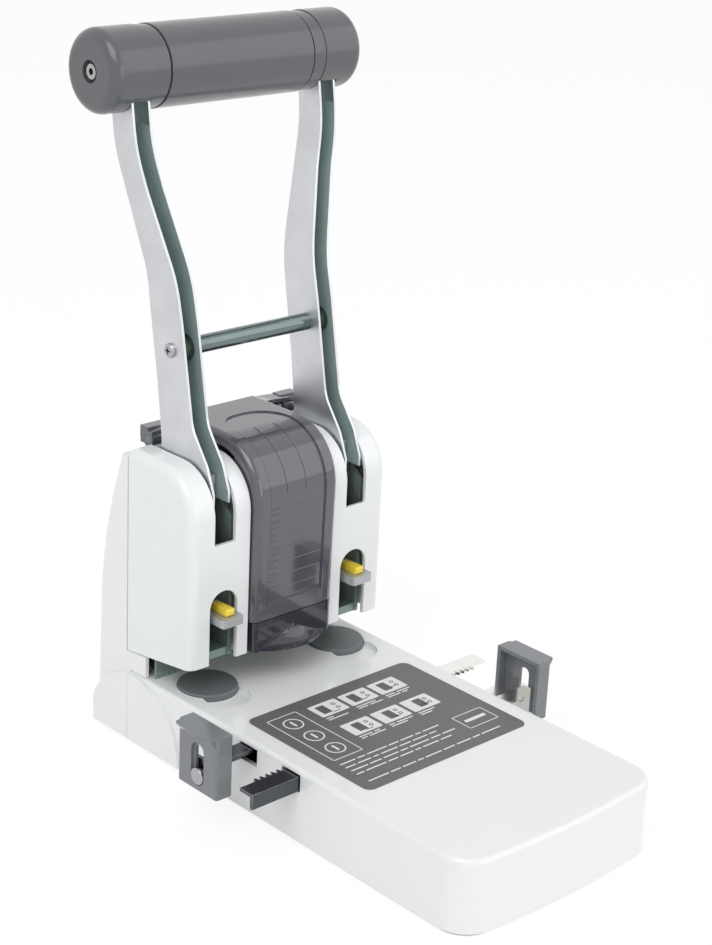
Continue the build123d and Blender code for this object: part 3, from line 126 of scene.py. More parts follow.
# ---------------------------------------------------------------- finishes
class Recipe:
    """A material under construction, with short ways to add and join its nodes."""

    PATTERN = (0.3, 0.7)  # nearly all of a noise pattern lies between these
    EDGE_SAMPLES = 4
    EDGE_WIDTH = 0.4 * MM
    EDGE_COSINES = (0.995, 0.9)  # where an edge starts to show, and where it shows in full
    WEAR_SCALE = 350.0

    def __init__(self, name: str) -> None:
        """Start a node material with a Principled surface.

        Args:
            name: The material's name.
        """
        self.material = bpy.data.materials.new(name)
        self.material.use_nodes = True
        self.tree = self.material.node_tree
        self.shader = self.tree.nodes["Principled BSDF"]
        self.coordinates = self.add("ShaderNodeTexCoord").outputs["Object"]

    def add(self, kind: str, **settings: object) -> bpy.types.Node:
        """Add a node.

        Args:
            kind: Blender's name for the node's type.
            settings: Properties of the node to set.

        Returns:
            The new node.
        """
        node = self.tree.nodes.new(kind)
        for key, value in settings.items():
            setattr(node, key, value)
        return node

    def join(self, source: bpy.types.NodeSocket, target: bpy.types.NodeSocket) -> None:
        """Link one socket to another."""
        self.tree.links.new(source, target)

    def noise(self, scale: float, detail: float = 3.0,
              stretch: Triple = (1.0, 1.0, 1.0)) -> bpy.types.NodeSocket:
        """Make a noise pattern on the object's own coordinates.

        Args:
            scale: Grains per metre.
            detail: How many finer layers it has.
            stretch: Scale of the coordinates along each axis.

        Returns:
            The pattern.
        """
        mapping = self.add("ShaderNodeMapping")
        mapping.inputs["Scale"].default_value = stretch
        self.join(self.coordinates, mapping.inputs["Vector"])
        node = self.add("ShaderNodeTexNoise")
        node.inputs["Scale"].default_value = scale
        node.inputs["Detail"].default_value = detail
        self.join(mapping.outputs["Vector"], node.inputs["Vector"])
        return node.outputs["Fac"]

    def spread(self, value: bpy.types.NodeSocket, given: Pair,
               wanted: Pair = (0.0, 1.0)) -> bpy.types.NodeSocket:
        """Map one range of values to another.

        Args:
            value: The socket that gives the values.
            given: The range they come in.
            wanted: The range they are sent to; what lies beyond is cut off.

        Returns:
            The mapped values.
        """
        node = self.add("ShaderNodeMapRange")
        for key, amount in zip(("From Min", "From Max", "To Min", "To Max"), (*given, *wanted)):
            node.inputs[key].default_value = amount
        self.join(value, node.inputs["Value"])
        return node.outputs["Result"]

    def rough(self, value: bpy.types.NodeSocket, low: float, high: float) -> None:
        """Vary the roughness between two values by a pattern."""
        self.join(self.spread(value, self.PATTERN, (low, high)), self.shader.inputs["Roughness"])

    def edges(self) -> bpy.types.NodeSocket:
        """Find the surface's edges.

        Returns:
            A pattern that is 1 along the edges and 0 elsewhere.
        """
        bent = self.add("ShaderNodeBevel", samples=self.EDGE_SAMPLES)
        bent.inputs["Radius"].default_value = self.EDGE_WIDTH
        plain = self.add("ShaderNodeNewGeometry")
        turn = self.add("ShaderNodeVectorMath", operation="DOT_PRODUCT")
        self.join(bent.outputs["Normal"], turn.inputs[0])
        self.join(plain.outputs["Normal"], turn.inputs[1])
        return self.spread(turn.outputs["Value"], self.EDGE_COSINES)

    def tinted(self, value: bpy.types.NodeSocket, dark: Triple, light: Triple,
               wear: float = 0.0, worn: float = 1.0) -> None:
        """Vary the base colour between two tones by a pattern, with lighter edges.

        Args:
            value: The pattern.
            dark: The tone at its low end.
            light: The tone at its high end.
            wear: How much of the edge tone the edges take, from 0 to 1; it stands for rubbed edges,
                and on the rack for a painted highlight.
            worn: The edge tone's brightness beside the light one.
        """
        ramp = self.add("ShaderNodeValToRGB")
        for index, stop_tone in enumerate((dark, light)):
            stop = ramp.color_ramp.elements[index]
            stop.position = self.PATTERN[index]
            stop.color = (*stop_tone, 1)
        self.join(value, ramp.inputs["Fac"])
        tone = ramp.outputs["Color"]
        # lighter edges: rubbed edges on most finishes, a painted highlight on the rack
        if wear > 0:
            share = self.add("ShaderNodeMath", operation="MULTIPLY")
            patches = self.spread(self.noise(self.WEAR_SCALE), self.PATTERN, (0.0, wear))
            self.join(self.edges(), share.inputs[0])
            self.join(patches, share.inputs[1])
            mix = self.add("ShaderNodeMix", data_type="RGBA")
            mix.inputs["B"].default_value = (*shade(light, worn), 1)
            self.join(share.outputs[0], mix.inputs["Factor"])
            self.join(tone, mix.inputs["A"])
            tone = mix.outputs["Result"]
        self.join(tone, self.shader.inputs["Base Color"])

    def bump(self, value: bpy.types.NodeSocket, height: float, strength: float) -> None:
        """Raise the surface by a pattern.

        Args:
            value: The pattern.
            height: The most it rises, in metres.
            strength: How much of that shows, from 0 to 1.
        """
        node = self.add("ShaderNodeBump")
        node.inputs["Distance"].default_value = height
        node.inputs["Strength"].default_value = strength
        self.join(value, node.inputs["Height"])
        self.join(node.outputs["Normal"], self.shader.inputs["Normal"])

    def set(self, **values: object) -> None:
        """Set the shader's own sockets; an underscore stands for a space."""
        for key, value in values.items():
            self.shader.inputs[key.replace("_", " ")].default_value = value


def shade(tone: Triple, factor: float) -> Triple:
    """Make a colour lighter or darker.

    Args:
        tone: The colour.
        factor: What each channel is multiplied by.

    Returns:
        The new colour, with no channel over 1.
    """
    return tuple(min(1.0, channel * factor) for channel in tone)


@dataclass(frozen=True)
class Finish:
    """A named surface finish; lengths are in metres, and scales in grains per metre."""

    name: str

    def build(self) -> bpy.types.Material:
        """Make the material; each kind of finish has its own way."""
        raise NotImplementedError


@dataclass(frozen=True)
class MouldedPlastic(Finish):
    """Moulded plastic: a fine grain, a slow drift in tone, and more or less gloss."""

    tone: Triple
    roughness: float = 0.35
    grain: float = 0.000012
    grain_scale: float = 2600.0
    drift: float = 0.03
    coat: float = 0.0
    wear: float = 0.5
    drift_scale: float = 22.0
    gloss: Pair = (-0.03, 0.04)
    gloss_scale: float = 140.0
    pale_tone: float = 0.5
    worn_dark: float = 1.5

    def build(self) -> bpy.types.Material:
        """Make the material.

        Returns:
            The material; pale plastic keeps its tone at rubbed edges, dark plastic gets paler
            there.
        """
        recipe = Recipe(self.name)
        worn = 1.0 if min(self.tone) > self.pale_tone else self.worn_dark
        recipe.tinted(recipe.noise(self.drift_scale), shade(self.tone, 1 - self.drift),
                      shade(self.tone, 1 + self.drift), self.wear, worn)
        recipe.rough(recipe.noise(self.gloss_scale), *(self.roughness + add for add in self.gloss))
        recipe.bump(recipe.noise(self.grain_scale, 2.0), self.grain, strength=0.6)
        recipe.set(Coat_Weight=self.coat, Coat_Roughness=0.08)
        return recipe.material


@dataclass(frozen=True)
class SheetMetal(Finish):
    """Plated or drawn steel with fine lines along one axis."""

    tone: Triple
    roughness: float = 0.3
    lines: Triple = (1.0, 1.0, 0.04)
    line_scale: float = 3200.0
    line_depth: float = 0.000008
    metallic: float = 1.0
    drift: Pair = (0.94, 1.05)
    drift_scale: float = 60.0
    gloss: Pair = (-0.06, 0.08)
    wear: float = 0.6
    worn: float = 1.4

    def build(self) -> bpy.types.Material:
        """Make the material.

        Returns:
            The material; the lines change its gloss and its height.
        """
        recipe = Recipe(self.name)
        lines = recipe.noise(self.line_scale, 2.0, self.lines)
        recipe.tinted(recipe.noise(self.drift_scale, 4.0),
                      *(shade(self.tone, factor) for factor in self.drift), self.wear, self.worn)
        recipe.rough(lines, *(self.roughness + add for add in self.gloss))
        recipe.bump(lines, self.line_depth, strength=0.5)
        recipe.set(Metallic=self.metallic)
        return recipe.material


@dataclass(frozen=True)
class SmokedPlastic(Finish):
    """Clear plastic with a dark tint."""

    tone: Triple
    transmission: float = 0.55
    roughness: float = 0.07
    drift: Pair = (0.94, 1.06)
    drift_scale: float = 30.0
    gloss: float = 0.03
    gloss_scale: float = 90.0
    ripple: float = 0.00001
    ripple_scale: float = 60.0
    refraction: float = 1.55
    coat: float = 0.6

    def build(self) -> bpy.types.Material:
        """Make the material.

        Returns:
            The material, with faint ripples under a clear coat.
        """
        recipe = Recipe(self.name)
        recipe.tinted(recipe.noise(self.drift_scale),
                      *(shade(self.tone, factor) for factor in self.drift))
        recipe.rough(recipe.noise(self.gloss_scale), self.roughness, self.roughness + self.gloss)
        recipe.bump(recipe.noise(self.ripple_scale, 1.0), self.ripple, strength=0.2)
        recipe.set(Transmission_Weight=self.transmission, IOR=self.refraction,
                   Coat_Weight=self.coat, Coat_Roughness=0.03)
        return recipe.material


@dataclass(frozen=True)
class CastMetal(Finish):
    """Rough grey cast metal."""

    tone: Triple
    roughness: Pair = (0.38, 0.52)
    metallic: float = 0.7
    grain: float = 0.00004
    grain_scale: float = 1500.0
    drift: Pair = (0.85, 1.12)
    gloss_scale: float = 400.0
    wear: float = 0.5
    worn: float = 1.3

    def build(self) -> bpy.types.Material:
        """Make the material.

        Returns:
            The material; its tone follows the grain.
        """
        recipe = Recipe(self.name)
        grain = recipe.noise(self.grain_scale, 4.0)
        recipe.tinted(grain, *(shade(self.tone, factor) for factor in self.drift),
                      self.wear, self.worn)
        recipe.rough(recipe.noise(self.gloss_scale), *self.roughness)
        recipe.bump(grain, self.grain, strength=0.6)
        recipe.set(Metallic=self.metallic)
        return recipe.material


@dataclass(frozen=True)
class RackSteel(Finish):
    """Bright rolled steel with a painted reflection that darkens it towards one end of the bar."""

    left: Triple
    right: Triple
    reach: float = 0.06
    roughness: Pair = (0.14, 0.22)
    lines: Triple = (0.04, 1.0, 1.0)
    line_scale: float = 1400.0
    line_depth: float = 0.000003
    # share of the bright tone that the edges take, a painted highlight
    wear: float = 0.9

    def build(self) -> bpy.types.Material:
        """Make the material.

        Returns:
            The material; a painted reflection darkens it towards the left, and its edges get a
            painted highlight.
        """
        recipe = Recipe(self.name)
        split = recipe.add("ShaderNodeSeparateXYZ")
        recipe.join(recipe.coordinates, split.inputs[0])
        # painted reflection: dark at the left end, bright at the right
        along = recipe.spread(split.outputs["X"], (-self.reach, self.reach))
        recipe.tinted(along, self.left, self.right, self.wear)
        lines = recipe.noise(self.line_scale, 2.0, self.lines)
        recipe.rough(lines, *self.roughness)
        recipe.bump(lines, self.line_depth, strength=0.4)
        recipe.set(Metallic=1.0)
        return recipe.material


GLOSSY = {"grain": 0.000001, "grain_scale": 700.0}
WHITE = MouldedPlastic("shell_white", (0.83, 0.845, 0.845), roughness=0.20, drift=0.006,
                       coat=0.4, wear=0.0, **GLOSSY)
POD_WHITE = MouldedPlastic("pod_white", (0.82, 0.84, 0.845), roughness=0.18, drift=0.006,
                           coat=0.4, wear=0.0, **GLOSSY)
GRIP_GREY = MouldedPlastic("grip_grey", (0.088, 0.093, 0.101), roughness=0.24, coat=0.35, **GLOSSY)
GUIDE_GREY = MouldedPlastic("guide_grey", (0.175, 0.185, 0.20), roughness=0.22, coat=0.35,
                            **GLOSSY)
DISC_GREY = MouldedPlastic("disc_grey", (0.145, 0.16, 0.167), roughness=0.42, drift=0.05)
# Black plastic, also the painted shade in the screws' recesses.
BLACK = MouldedPlastic("black_plastic", (0.022, 0.023, 0.025), roughness=0.4, drift=0.05)
HOPPER_GREY = MouldedPlastic("hopper_grey", (0.05, 0.05, 0.055), roughness=0.5, drift=0.05)
YELLOW = MouldedPlastic("tab_yellow", (0.88, 0.66, 0.06), roughness=0.3)
RUBBER = MouldedPlastic("mat_rubber", (0.03, 0.03, 0.03), roughness=0.8, grain=0.00006,
                        grain_scale=900.0)
PLATE_GREY = MouldedPlastic("plate_grey", (0.125, 0.118, 0.12), roughness=0.45, drift=0.02)
PRINT_WHITE = MouldedPlastic("print_white", (0.78, 0.78, 0.78), roughness=0.5, drift=0.02)
PRINT_DARK = MouldedPlastic("print_dark", (0.10, 0.095, 0.097), roughness=0.5)
SMOKED = SmokedPlastic("smoked_bin", (0.125, 0.121, 0.148), transmission=0.32)
DRAWER = SmokedPlastic("smoked_drawer", (0.022, 0.020, 0.032), transmission=0.06, roughness=0.09)
# Dark line finish: the cover's marks, and the painted shade along its panel's edge.
SMOKED_LINE = SmokedPlastic("smoked_line", (0.05, 0.05, 0.065), transmission=0.1, roughness=0.2)
SMOKED_RIB = SmokedPlastic("smoked_rib", (0.16, 0.16, 0.19), transmission=0.3, roughness=0.12)
PLATED = SheetMetal("plated_steel", (0.64, 0.65, 0.67), roughness=0.38, line_scale=1800.0,
                    line_depth=0.000003)
# Darker teal tone inside the arms' channel: painted shade.
CHANNEL_SHADE = SheetMetal("channel_teal", (0.39, 0.49, 0.485), roughness=0.36, metallic=0.3,
                     line_depth=0.000002)
# Near-black spacers inside the channel: painted shade.
BUSH_SHADE = SheetMetal("bush_dark", (0.03, 0.05, 0.038), metallic=0.5)
FRAME = SheetMetal("frame_dark", (0.24, 0.31, 0.285), metallic=0.5)
CHROME = SheetMetal("chrome", (0.17, 0.21, 0.215), roughness=0.09, lines=(0.04, 1.0, 1.0),
                    line_depth=0.0)
SCREW = SheetMetal("screw_steel", (0.42, 0.42, 0.43), roughness=0.2, line_depth=0.000002)
# The rack's darker left end is a painted reflection, its brighter edges a painted highlight.
RACK = RackSteel("rack_steel", (0.11, 0.115, 0.13), (0.86, 0.85, 0.82))
CAST = CastMetal("cast_grey", (0.50, 0.51, 0.52))


# ---------------------------------------------------------------- meshes
def mesh_from(shape: bmesh.types.BMesh, name: str) -> bpy.types.Mesh:
    """Turn an edited shape into a mesh.

    Args:
        shape: The shape, which is freed.
        name: The mesh's name.

    Returns:
        The mesh.
    """
    mesh = bpy.data.meshes.new(name)
    shape.to_mesh(mesh)
    shape.free()
    return mesh


def applied(holder: bpy.types.Object) -> bpy.types.Mesh:
    """Apply an object's modifiers; the object and its old mesh are removed.

    Args:
        holder: The object.

    Returns:
        The new mesh, under the old one's name.
    """
    old, name = holder.data, holder.data.name
    shaped = holder.evaluated_get(bpy.context.evaluated_depsgraph_get())
    mesh = bpy.data.meshes.new_from_object(shaped)
    bpy.data.objects.remove(holder)
    bpy.data.meshes.remove(old)
    mesh.name = name
    return mesh


def mark_hollows(mesh: bpy.types.Mesh, reach: float, lift: float = 0.4 * MM) -> None:
    """Give material number 1 to the faces inside a channel or recess, whose second finish is
    painted shade.

    A face is inside when it looks at another wall, or when walls stand on two opposite sides of it.

    Args:
        mesh: The mesh to mark.
        reach: The widest hollow that counts, in metres.
        lift: How far above a face the search starts, in metres.
    """
    corners = [vertex.co for vertex in mesh.vertices]
    tree = BVHTree.FromPolygons(corners, [tuple(face.vertices) for face in mesh.polygons])
    for face in mesh.polygons:
        start = face.center + face.normal * lift
        inside = tree.ray_cast(start, face.normal, reach)[0] is not None
        for axis in Matrix.Identity(3):
            inside = inside or all(tree.ray_cast(start, way, reach)[0] is not None
                                   for way in (axis, -axis))
        face.material_index = int(inside)


def rounded(mesh: bpy.types.Mesh, width: float, angle: float) -> bpy.types.Mesh:
    """Round a mesh's sharp edges and shade it smooth, with its flat faces flat to the eye.

    Args:
        mesh: The mesh to work on.
        width: Width of the rounding, in millimetres; with 0 the mesh is only shaded smooth.
        angle: The least angle of an edge that counts as sharp, in degrees.

    Returns:
        The finished mesh.
    """
    if width > 0:
        holder = placed("holder", mesh)
        bevel = holder.modifiers.new("edges", "BEVEL")
        bevel.width = width * MM
        bevel.segments = 2
        bevel.limit_method = "ANGLE"
        bevel.angle_limit = math.radians(angle)
        bevel.use_clamp_overlap = True
        mesh = applied(holder)
    mesh.shade_smooth()
    mesh.set_sharp_from_angle(angle=math.radians(angle))
    if width > 0:
        holder = placed("holder", mesh)
        holder.modifiers.new("even", "WEIGHTED_NORMAL").keep_sharp = True
        mesh = applied(holder)
    return mesh


def slab(outline: Outline, low: float, high: float, name: str) -> bpy.types.Mesh:
    """Make an upright prism; lengths are in millimetres.

    Args:
        outline: Its outline, anticlockwise as seen from above.
        low: The height of its underside.
        high: The height of its top.
        name: The mesh's name.

    Returns:
        The mesh.
    """
    shape = bmesh.new()
    under, over = ([shape.verts.new((x * MM, y * MM, z * MM)) for x, y in outline]
                   for z in (low, high))
    shape.faces.new(under[::-1])
    shape.faces.new(over)
    for index in range(len(outline)):
        shape.faces.new((under[index - 1], under[index], over[index], over[index - 1]))
    return mesh_from(shape, name)


def rounded_box(centre: Pair, size: Pair, radius: float, steps: int = 5) -> Outline:
    """Draw a rectangle with round corners; lengths are in millimetres.

    Args:
        centre: Its middle.
        size: Its width and height.
        radius: The corners' radius.
        steps: Straight pieces in each corner.

    Returns:
        Its outline, anticlockwise.
    """
    outline = []
    for quarter, (sx, sy) in enumerate(((1, 1), (-1, 1), (-1, -1), (1, -1))):
        for step in range(steps + 1):
            turn = math.radians(90 * quarter + 90 * step / steps)
            outline.append((centre[0] + sx * (size[0] / 2 - radius) + radius * math.cos(turn),
                            centre[1] + sy * (size[1] / 2 - radius) + radius * math.sin(turn)))
    return outline


class Workshop:
    """Holds the frame and makes finished, plain-mesh pieces from it."""

    WELD = 0.002 * MM  # corners nearer than this become one
    FLAT = 0.6  # faces that meet at less than so many degrees become one

    def __init__(self) -> None:
        """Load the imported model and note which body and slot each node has."""
        self.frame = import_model()
        record = self.frame["record"]
        bodies = record["behaviour"]["bodies"]
        self.body_of = {node: body for body, nodes in bodies.items() for node in nodes}
        self.slot_of = {entry["node"]: entry["material_slot"] for entry in record["subparts"]}
        self.made: dict[str, bpy.types.Material] = {}

    def finish(self, recipe: Finish) -> bpy.types.Material:
        """Give a finish's material, which is made once.

        Args:
            recipe: The finish.

        Returns:
            Its material.
        """
        if recipe.name not in self.made:
            self.made[recipe.name] = recipe.build()
        return self.made[recipe.name]

    def add_piece(self, name: str, mesh: bpy.types.Mesh, body: str, slot: str,
                  *finishes: Finish) -> bpy.types.Object:
        """Put a finished mesh in the scene.

        Args:
            name: The piece's name.
            mesh: Its mesh, in place.
            body: The body it rides on.
            slot: The record's material slot it belongs to; not used.
            finishes: Its finishes, for a mesh that has no materials yet.

        Returns:
            The piece's object.
        """
        piece = placed(name, mesh)
        if not mesh.materials:
            for recipe in finishes:
                mesh.materials.append(self.finish(recipe))
        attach(piece, body)
        LOG.info("made %s on %s, %d faces", name, body, len(mesh.polygons))
        return piece

    def refine(self, node: str, *finishes: Finish, rounding: float = 0.3, angle: float = 32.0,
               hollow: float = 0.0) -> bpy.types.Object:
        """Replace a node by a copy with joined faces, rounded edges and smooth shading.

        Args:
            node: The node's name.
            finishes: The copy's finishes.
            rounding: Width of the rounded edges, in millimetres; 0 leaves them sharp.
            angle: Edges sharper than this, in degrees, are rounded or stay crisp.
            hollow: Faces in hollows up to so many millimetres wide take the second finish, a
                painted shade.

        Returns:
            The copy's object.
        """
        source = self.frame["nodes"][node]
        shape = bmesh.new()
        shape.from_mesh(source.data)
        bmesh.ops.transform(shape, matrix=source.matrix_world, verts=shape.verts)
        bmesh.ops.remove_doubles(shape, verts=shape.verts, dist=self.WELD)
        bmesh.ops.dissolve_limit(shape, angle_limit=math.radians(self.FLAT), verts=shape.verts,
                                 edges=shape.edges)
        mesh = mesh_from(shape, f"look_{node}")
        for recipe in finishes:
            mesh.materials.append(self.finish(recipe))
        if hollow > 0:
            mark_hollows(mesh, hollow * MM)
        mesh = rounded(mesh, rounding, angle)
        piece = self.add_piece(f"look_{node}", mesh, self.body_of[node], self.slot_of[node])
        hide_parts(node)
        return piece

    def refine_all(self, nodes: list[str], *finishes: Finish, rounding: float = 0.3) -> None:
        """Refine several nodes alike."""
        for node in nodes:
            self.refine(node, *finishes, rounding=rounding)


# ---------------------------------------------------------------- sub-assemblies
@dataclass
class Assembly:
    """A sub-assembly that is dressed in one go; its lengths are in millimetres."""

    shop: Workshop

    def build(self) -> None:
        """Dress the assembly's nodes; each assembly has its own way."""
        raise NotImplementedError


@dataclass
class Base(Assembly):
    """The white base with its mat, floor plate, cutting discs and anvils."""

    def build(self) -> None:
        """Dress the base's nodes."""
        self.shop.refine("base_shell", WHITE, rounding=0.5)
        self.shop.refine("base_mat", RUBBER, rounding=0.2)
        self.shop.refine_all(["base_plate", *both("anvil")], FRAME, rounding=0.2)
        self.shop.refine_all(["base_screws", "tower_screws"], SCREW, rounding=0.15)
        self.shop.refine("paper_stop", FRAME, rounding=0.15)
        self.shop.refine_all(both("cutting_disc"), DISC_GREY, rounding=0.15)


@dataclass
class PrintedPlate(Assembly):
    """The table's plate: a dark field with pale panels, simple pictures and rows of short bars."""

    print_height: float = 0.04
    small_steps: int = 2
    panel: Pair = (16.5, 11.5)
    panel_radius: float = 0.8
    columns: tuple[float, ...] = (-12.0, 6.5, 25.0)
    rows: tuple[float, ...] = (-60.0, -82.0)
    sheet: Pair = (5.0, 7.4)
    sheet_x: float = -3.0
    sheet_shift: float = 0.6
    holes: Pair = (4.4, 1.8)
    hole_radii: Pair = (1.1, 0.6)
    caption: Pair = (4.0, 0.5)
    caption_place: Pair = (1.4, -4.2)
    text_span: Pair = (-8.0, 9.0)
    text_pitch: float = 1.7
    ring_x: float = -35.0
    ring_rows: tuple[float, ...] = (-62.0, -76.0, -90.0)
    ring_radii: Pair = (4.9, 4.2)
    ring_steps: int = 20
    ring_mark: Pair = (1.2, 5.0)
    ring_frame: Pair = (17.0, 45.0)
    frame_line: float = 0.5
    label_place: Pair = (34.5, -108.3)
    label_frame: Pair = (18.0, 12.0)
    label_mark: Pair = (13.0, 2.2)
    bar_rows: tuple[float, ...] = (-103.0, -106.5, -110.0, -113.5)
    bar_span: Pair = (-44.0, 20.0)
    foot_row: float = -121.0
    foot_span: Pair = (-44.0, 44.0)
    bar_lengths: tuple[float, ...] = (9.0, 4.5, 12.0, 6.0, 8.0, 3.5, 10.0, 7.0)
    bar_height: float = 0.8
    bar_gap: float = 1.2
    pale: list[Outline] = field(default_factory=list)
    dark: list[Outline] = field(default_factory=list)

    def ring(self, group: list[Outline], centre: Pair, outer: float, inner: float) -> None:
        """Add a ring, as short wedges that touch.

        Args:
            group: The outlines it joins.
            centre: Its middle.
            outer: Its outer radius.
            inner: Its inner radius.
        """
        for step in range(self.ring_steps):
            turns = [math.tau * (step + add) / self.ring_steps for add in (0, 1)]
            group.append([(centre[0] + radius * math.cos(turn), centre[1] + radius * math.sin(turn))
                          for radius, way in ((outer, 1), (inner, -1)) for turn in turns[::way]])

    def frame(self, centre: Pair, size: Pair) -> None:
        """Add four pale lines round a rectangle.

        Args:
            centre: The rectangle's middle.
            size: Its width and height.
        """
        line = self.frame_line
        for way in (-1, 1):
            for middle, bar in (
                    ((centre[0], centre[1] + way * size[1] / 2), (size[0], line)),
                    ((centre[0] + way * size[0] / 2, centre[1]), (line, size[1] - line))):
                self.pale.append(rounded_box(middle, bar, line / 3, self.small_steps))

    def picture(self, x: float, y: float, number: int) -> None:
        """Draw a sheet with two holes and a bar on a panel.

        Args:
            x: The panel's middle.
            y: The panel's middle.
            number: The panel's number, which makes its picture a little different.
        """
        sheet_x = x + self.sheet_x + number * self.sheet_shift
        self.dark.append(rounded_box((sheet_x, y), self.sheet, 0.3, self.small_steps))
        for way in (-1, 1):
            self.ring(self.dark, (x + self.holes[0], y + way * self.holes[1]), *self.hole_radii)
        caption = (x + self.caption_place[0], y + self.caption_place[1] + number % 3)
        self.dark.append(rounded_box(caption, self.caption, 0.2, self.small_steps))

    def bars(self, y: float, first: int, low: float, high: float) -> None:
        """Fill a row with short bars, like lines of small print.

        Args:
            y: The row's place.
            first: Which of the bar lengths comes first.
            low: Where the row begins.
            high: Where it has to end.
        """
        x, index = low, first
        while x + (length := self.bar_lengths[index % len(self.bar_lengths)]) < high:
            bar = (length, self.bar_height)
            self.pale.append(rounded_box((x + length / 2, y), bar, 0.3, self.small_steps))
            x += length + self.bar_gap
            index += 1

    def draw(self) -> None:
        """Lay out the panels, the rings, the rows of bars and the framed mark."""
        for number, (x, y) in enumerate((x, y) for y in self.rows for x in self.columns):
            self.pale.append(rounded_box((x, y), self.panel, self.panel_radius))
            self.picture(x, y, number)
            for line in (1, 2):
                self.bars(y - self.panel[1] / 2 - self.text_pitch * line, number + line,
                          x + self.text_span[0], x + self.text_span[1])
        for y in self.ring_rows:
            self.ring(self.pale, (self.ring_x, y), *self.ring_radii)
            self.pale.append(rounded_box((self.ring_x, y), self.ring_mark, 0.5, self.small_steps))
        self.frame((self.ring_x, self.ring_rows[1]), self.ring_frame)
        for index, y in enumerate(self.bar_rows):
            self.bars(y, index * 3, *self.bar_span)
        self.frame(self.label_place, self.label_frame)
        self.pale.append(rounded_box(self.label_place, self.label_mark, 0.7, 3))
        self.bars(self.foot_row, 2, *self.foot_span)

    def build(self) -> None:
        """Make the plate and its print."""
        self.shop.refine("instruction_plate", PLATE_GREY, rounding=0.12)
        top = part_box("instruction_plate")[1][2] / MM
        self.draw()
        for name, group, rise, finish in (
                ("plate_print", self.pale, 0.0, PRINT_WHITE),
                ("plate_pictures", self.dark, self.print_height, PRINT_DARK)):
            shape = bmesh.new()
            for index, outline in enumerate(group):
                part = slab(outline, top + rise, top + rise + self.print_height, f"{name}_{index}")
                shape.from_mesh(part)
                bpy.data.meshes.remove(part)
            self.shop.add_piece(name, mesh_from(shape, name), "base", "plate_print", finish)


@dataclass
class Head(Assembly):
    """The white covers round the punches, the frame towers in them and their fixings."""

    def build(self) -> None:
        """Dress the head's nodes."""
        self.shop.refine_all(both("pod_cover"), POD_WHITE, rounding=0.5)
        self.shop.refine("rear_cover", WHITE, rounding=0.5)
        self.shop.refine_all([*both("tower"), *both("punch_guide")], FRAME, rounding=0.25)
        self.shop.refine_all(["pod_screws", "cover_screws"], SCREW, rounding=0.15)
        self.shop.refine("shaft_bushes", BLACK, rounding=0.2)


@dataclass
class PunchUnits(Assembly):
    """The moving punches with their cast brackets, tabs and springs."""

    stroke: float = 16.0

    def build(self) -> None:
        """Dress the punches' nodes."""
        self.shop.refine_all(both("punch_holder"), CAST, rounding=0.35)
        self.shop.refine_all(both("punch"), SCREW, rounding=0.1)
        self.shop.refine_all(both("release_tab"), YELLOW, rounding=0.35)
        for side in Side:
            node = f"return_spring_{side.word}"
            spring = self.shop.refine(node, SCREW, rounding=0.0, angle=60.0)
            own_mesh(spring)


@dataclass
class Lever(Assembly):
    """The arms, the bars between them and the grip."""

    channel_reach: float = 9.5
    recess_reach: float = 3.6

    def build(self) -> None:
        """Dress the lever's nodes."""
        for node in both("arm"):
            # the faces inside the channel take the darker finish as painted shade
            self.shop.refine(node, PLATED, CHANNEL_SHADE, rounding=0.22, hollow=self.channel_reach)
        self.shop.refine_all(["tie_bar", "main_shaft", "shaft_clips", "drive_pins", "grip_rod"],
                             CHROME, rounding=0.15)
        # the spacers inside the channel are painted near-black as shade
        self.shop.refine("tie_bar_spacers", BUSH_SHADE, rounding=0.3)
        # the screws' recesses take the black finish as painted shade
        for node in ("tie_bar_screws", "grip_screws"):
            self.shop.refine(node, SCREW, BLACK, rounding=0.1, hollow=self.recess_reach)
        self.shop.refine_all(["grip_sleeve", *both("grip_cap")], GRIP_GREY, rounding=0.35)


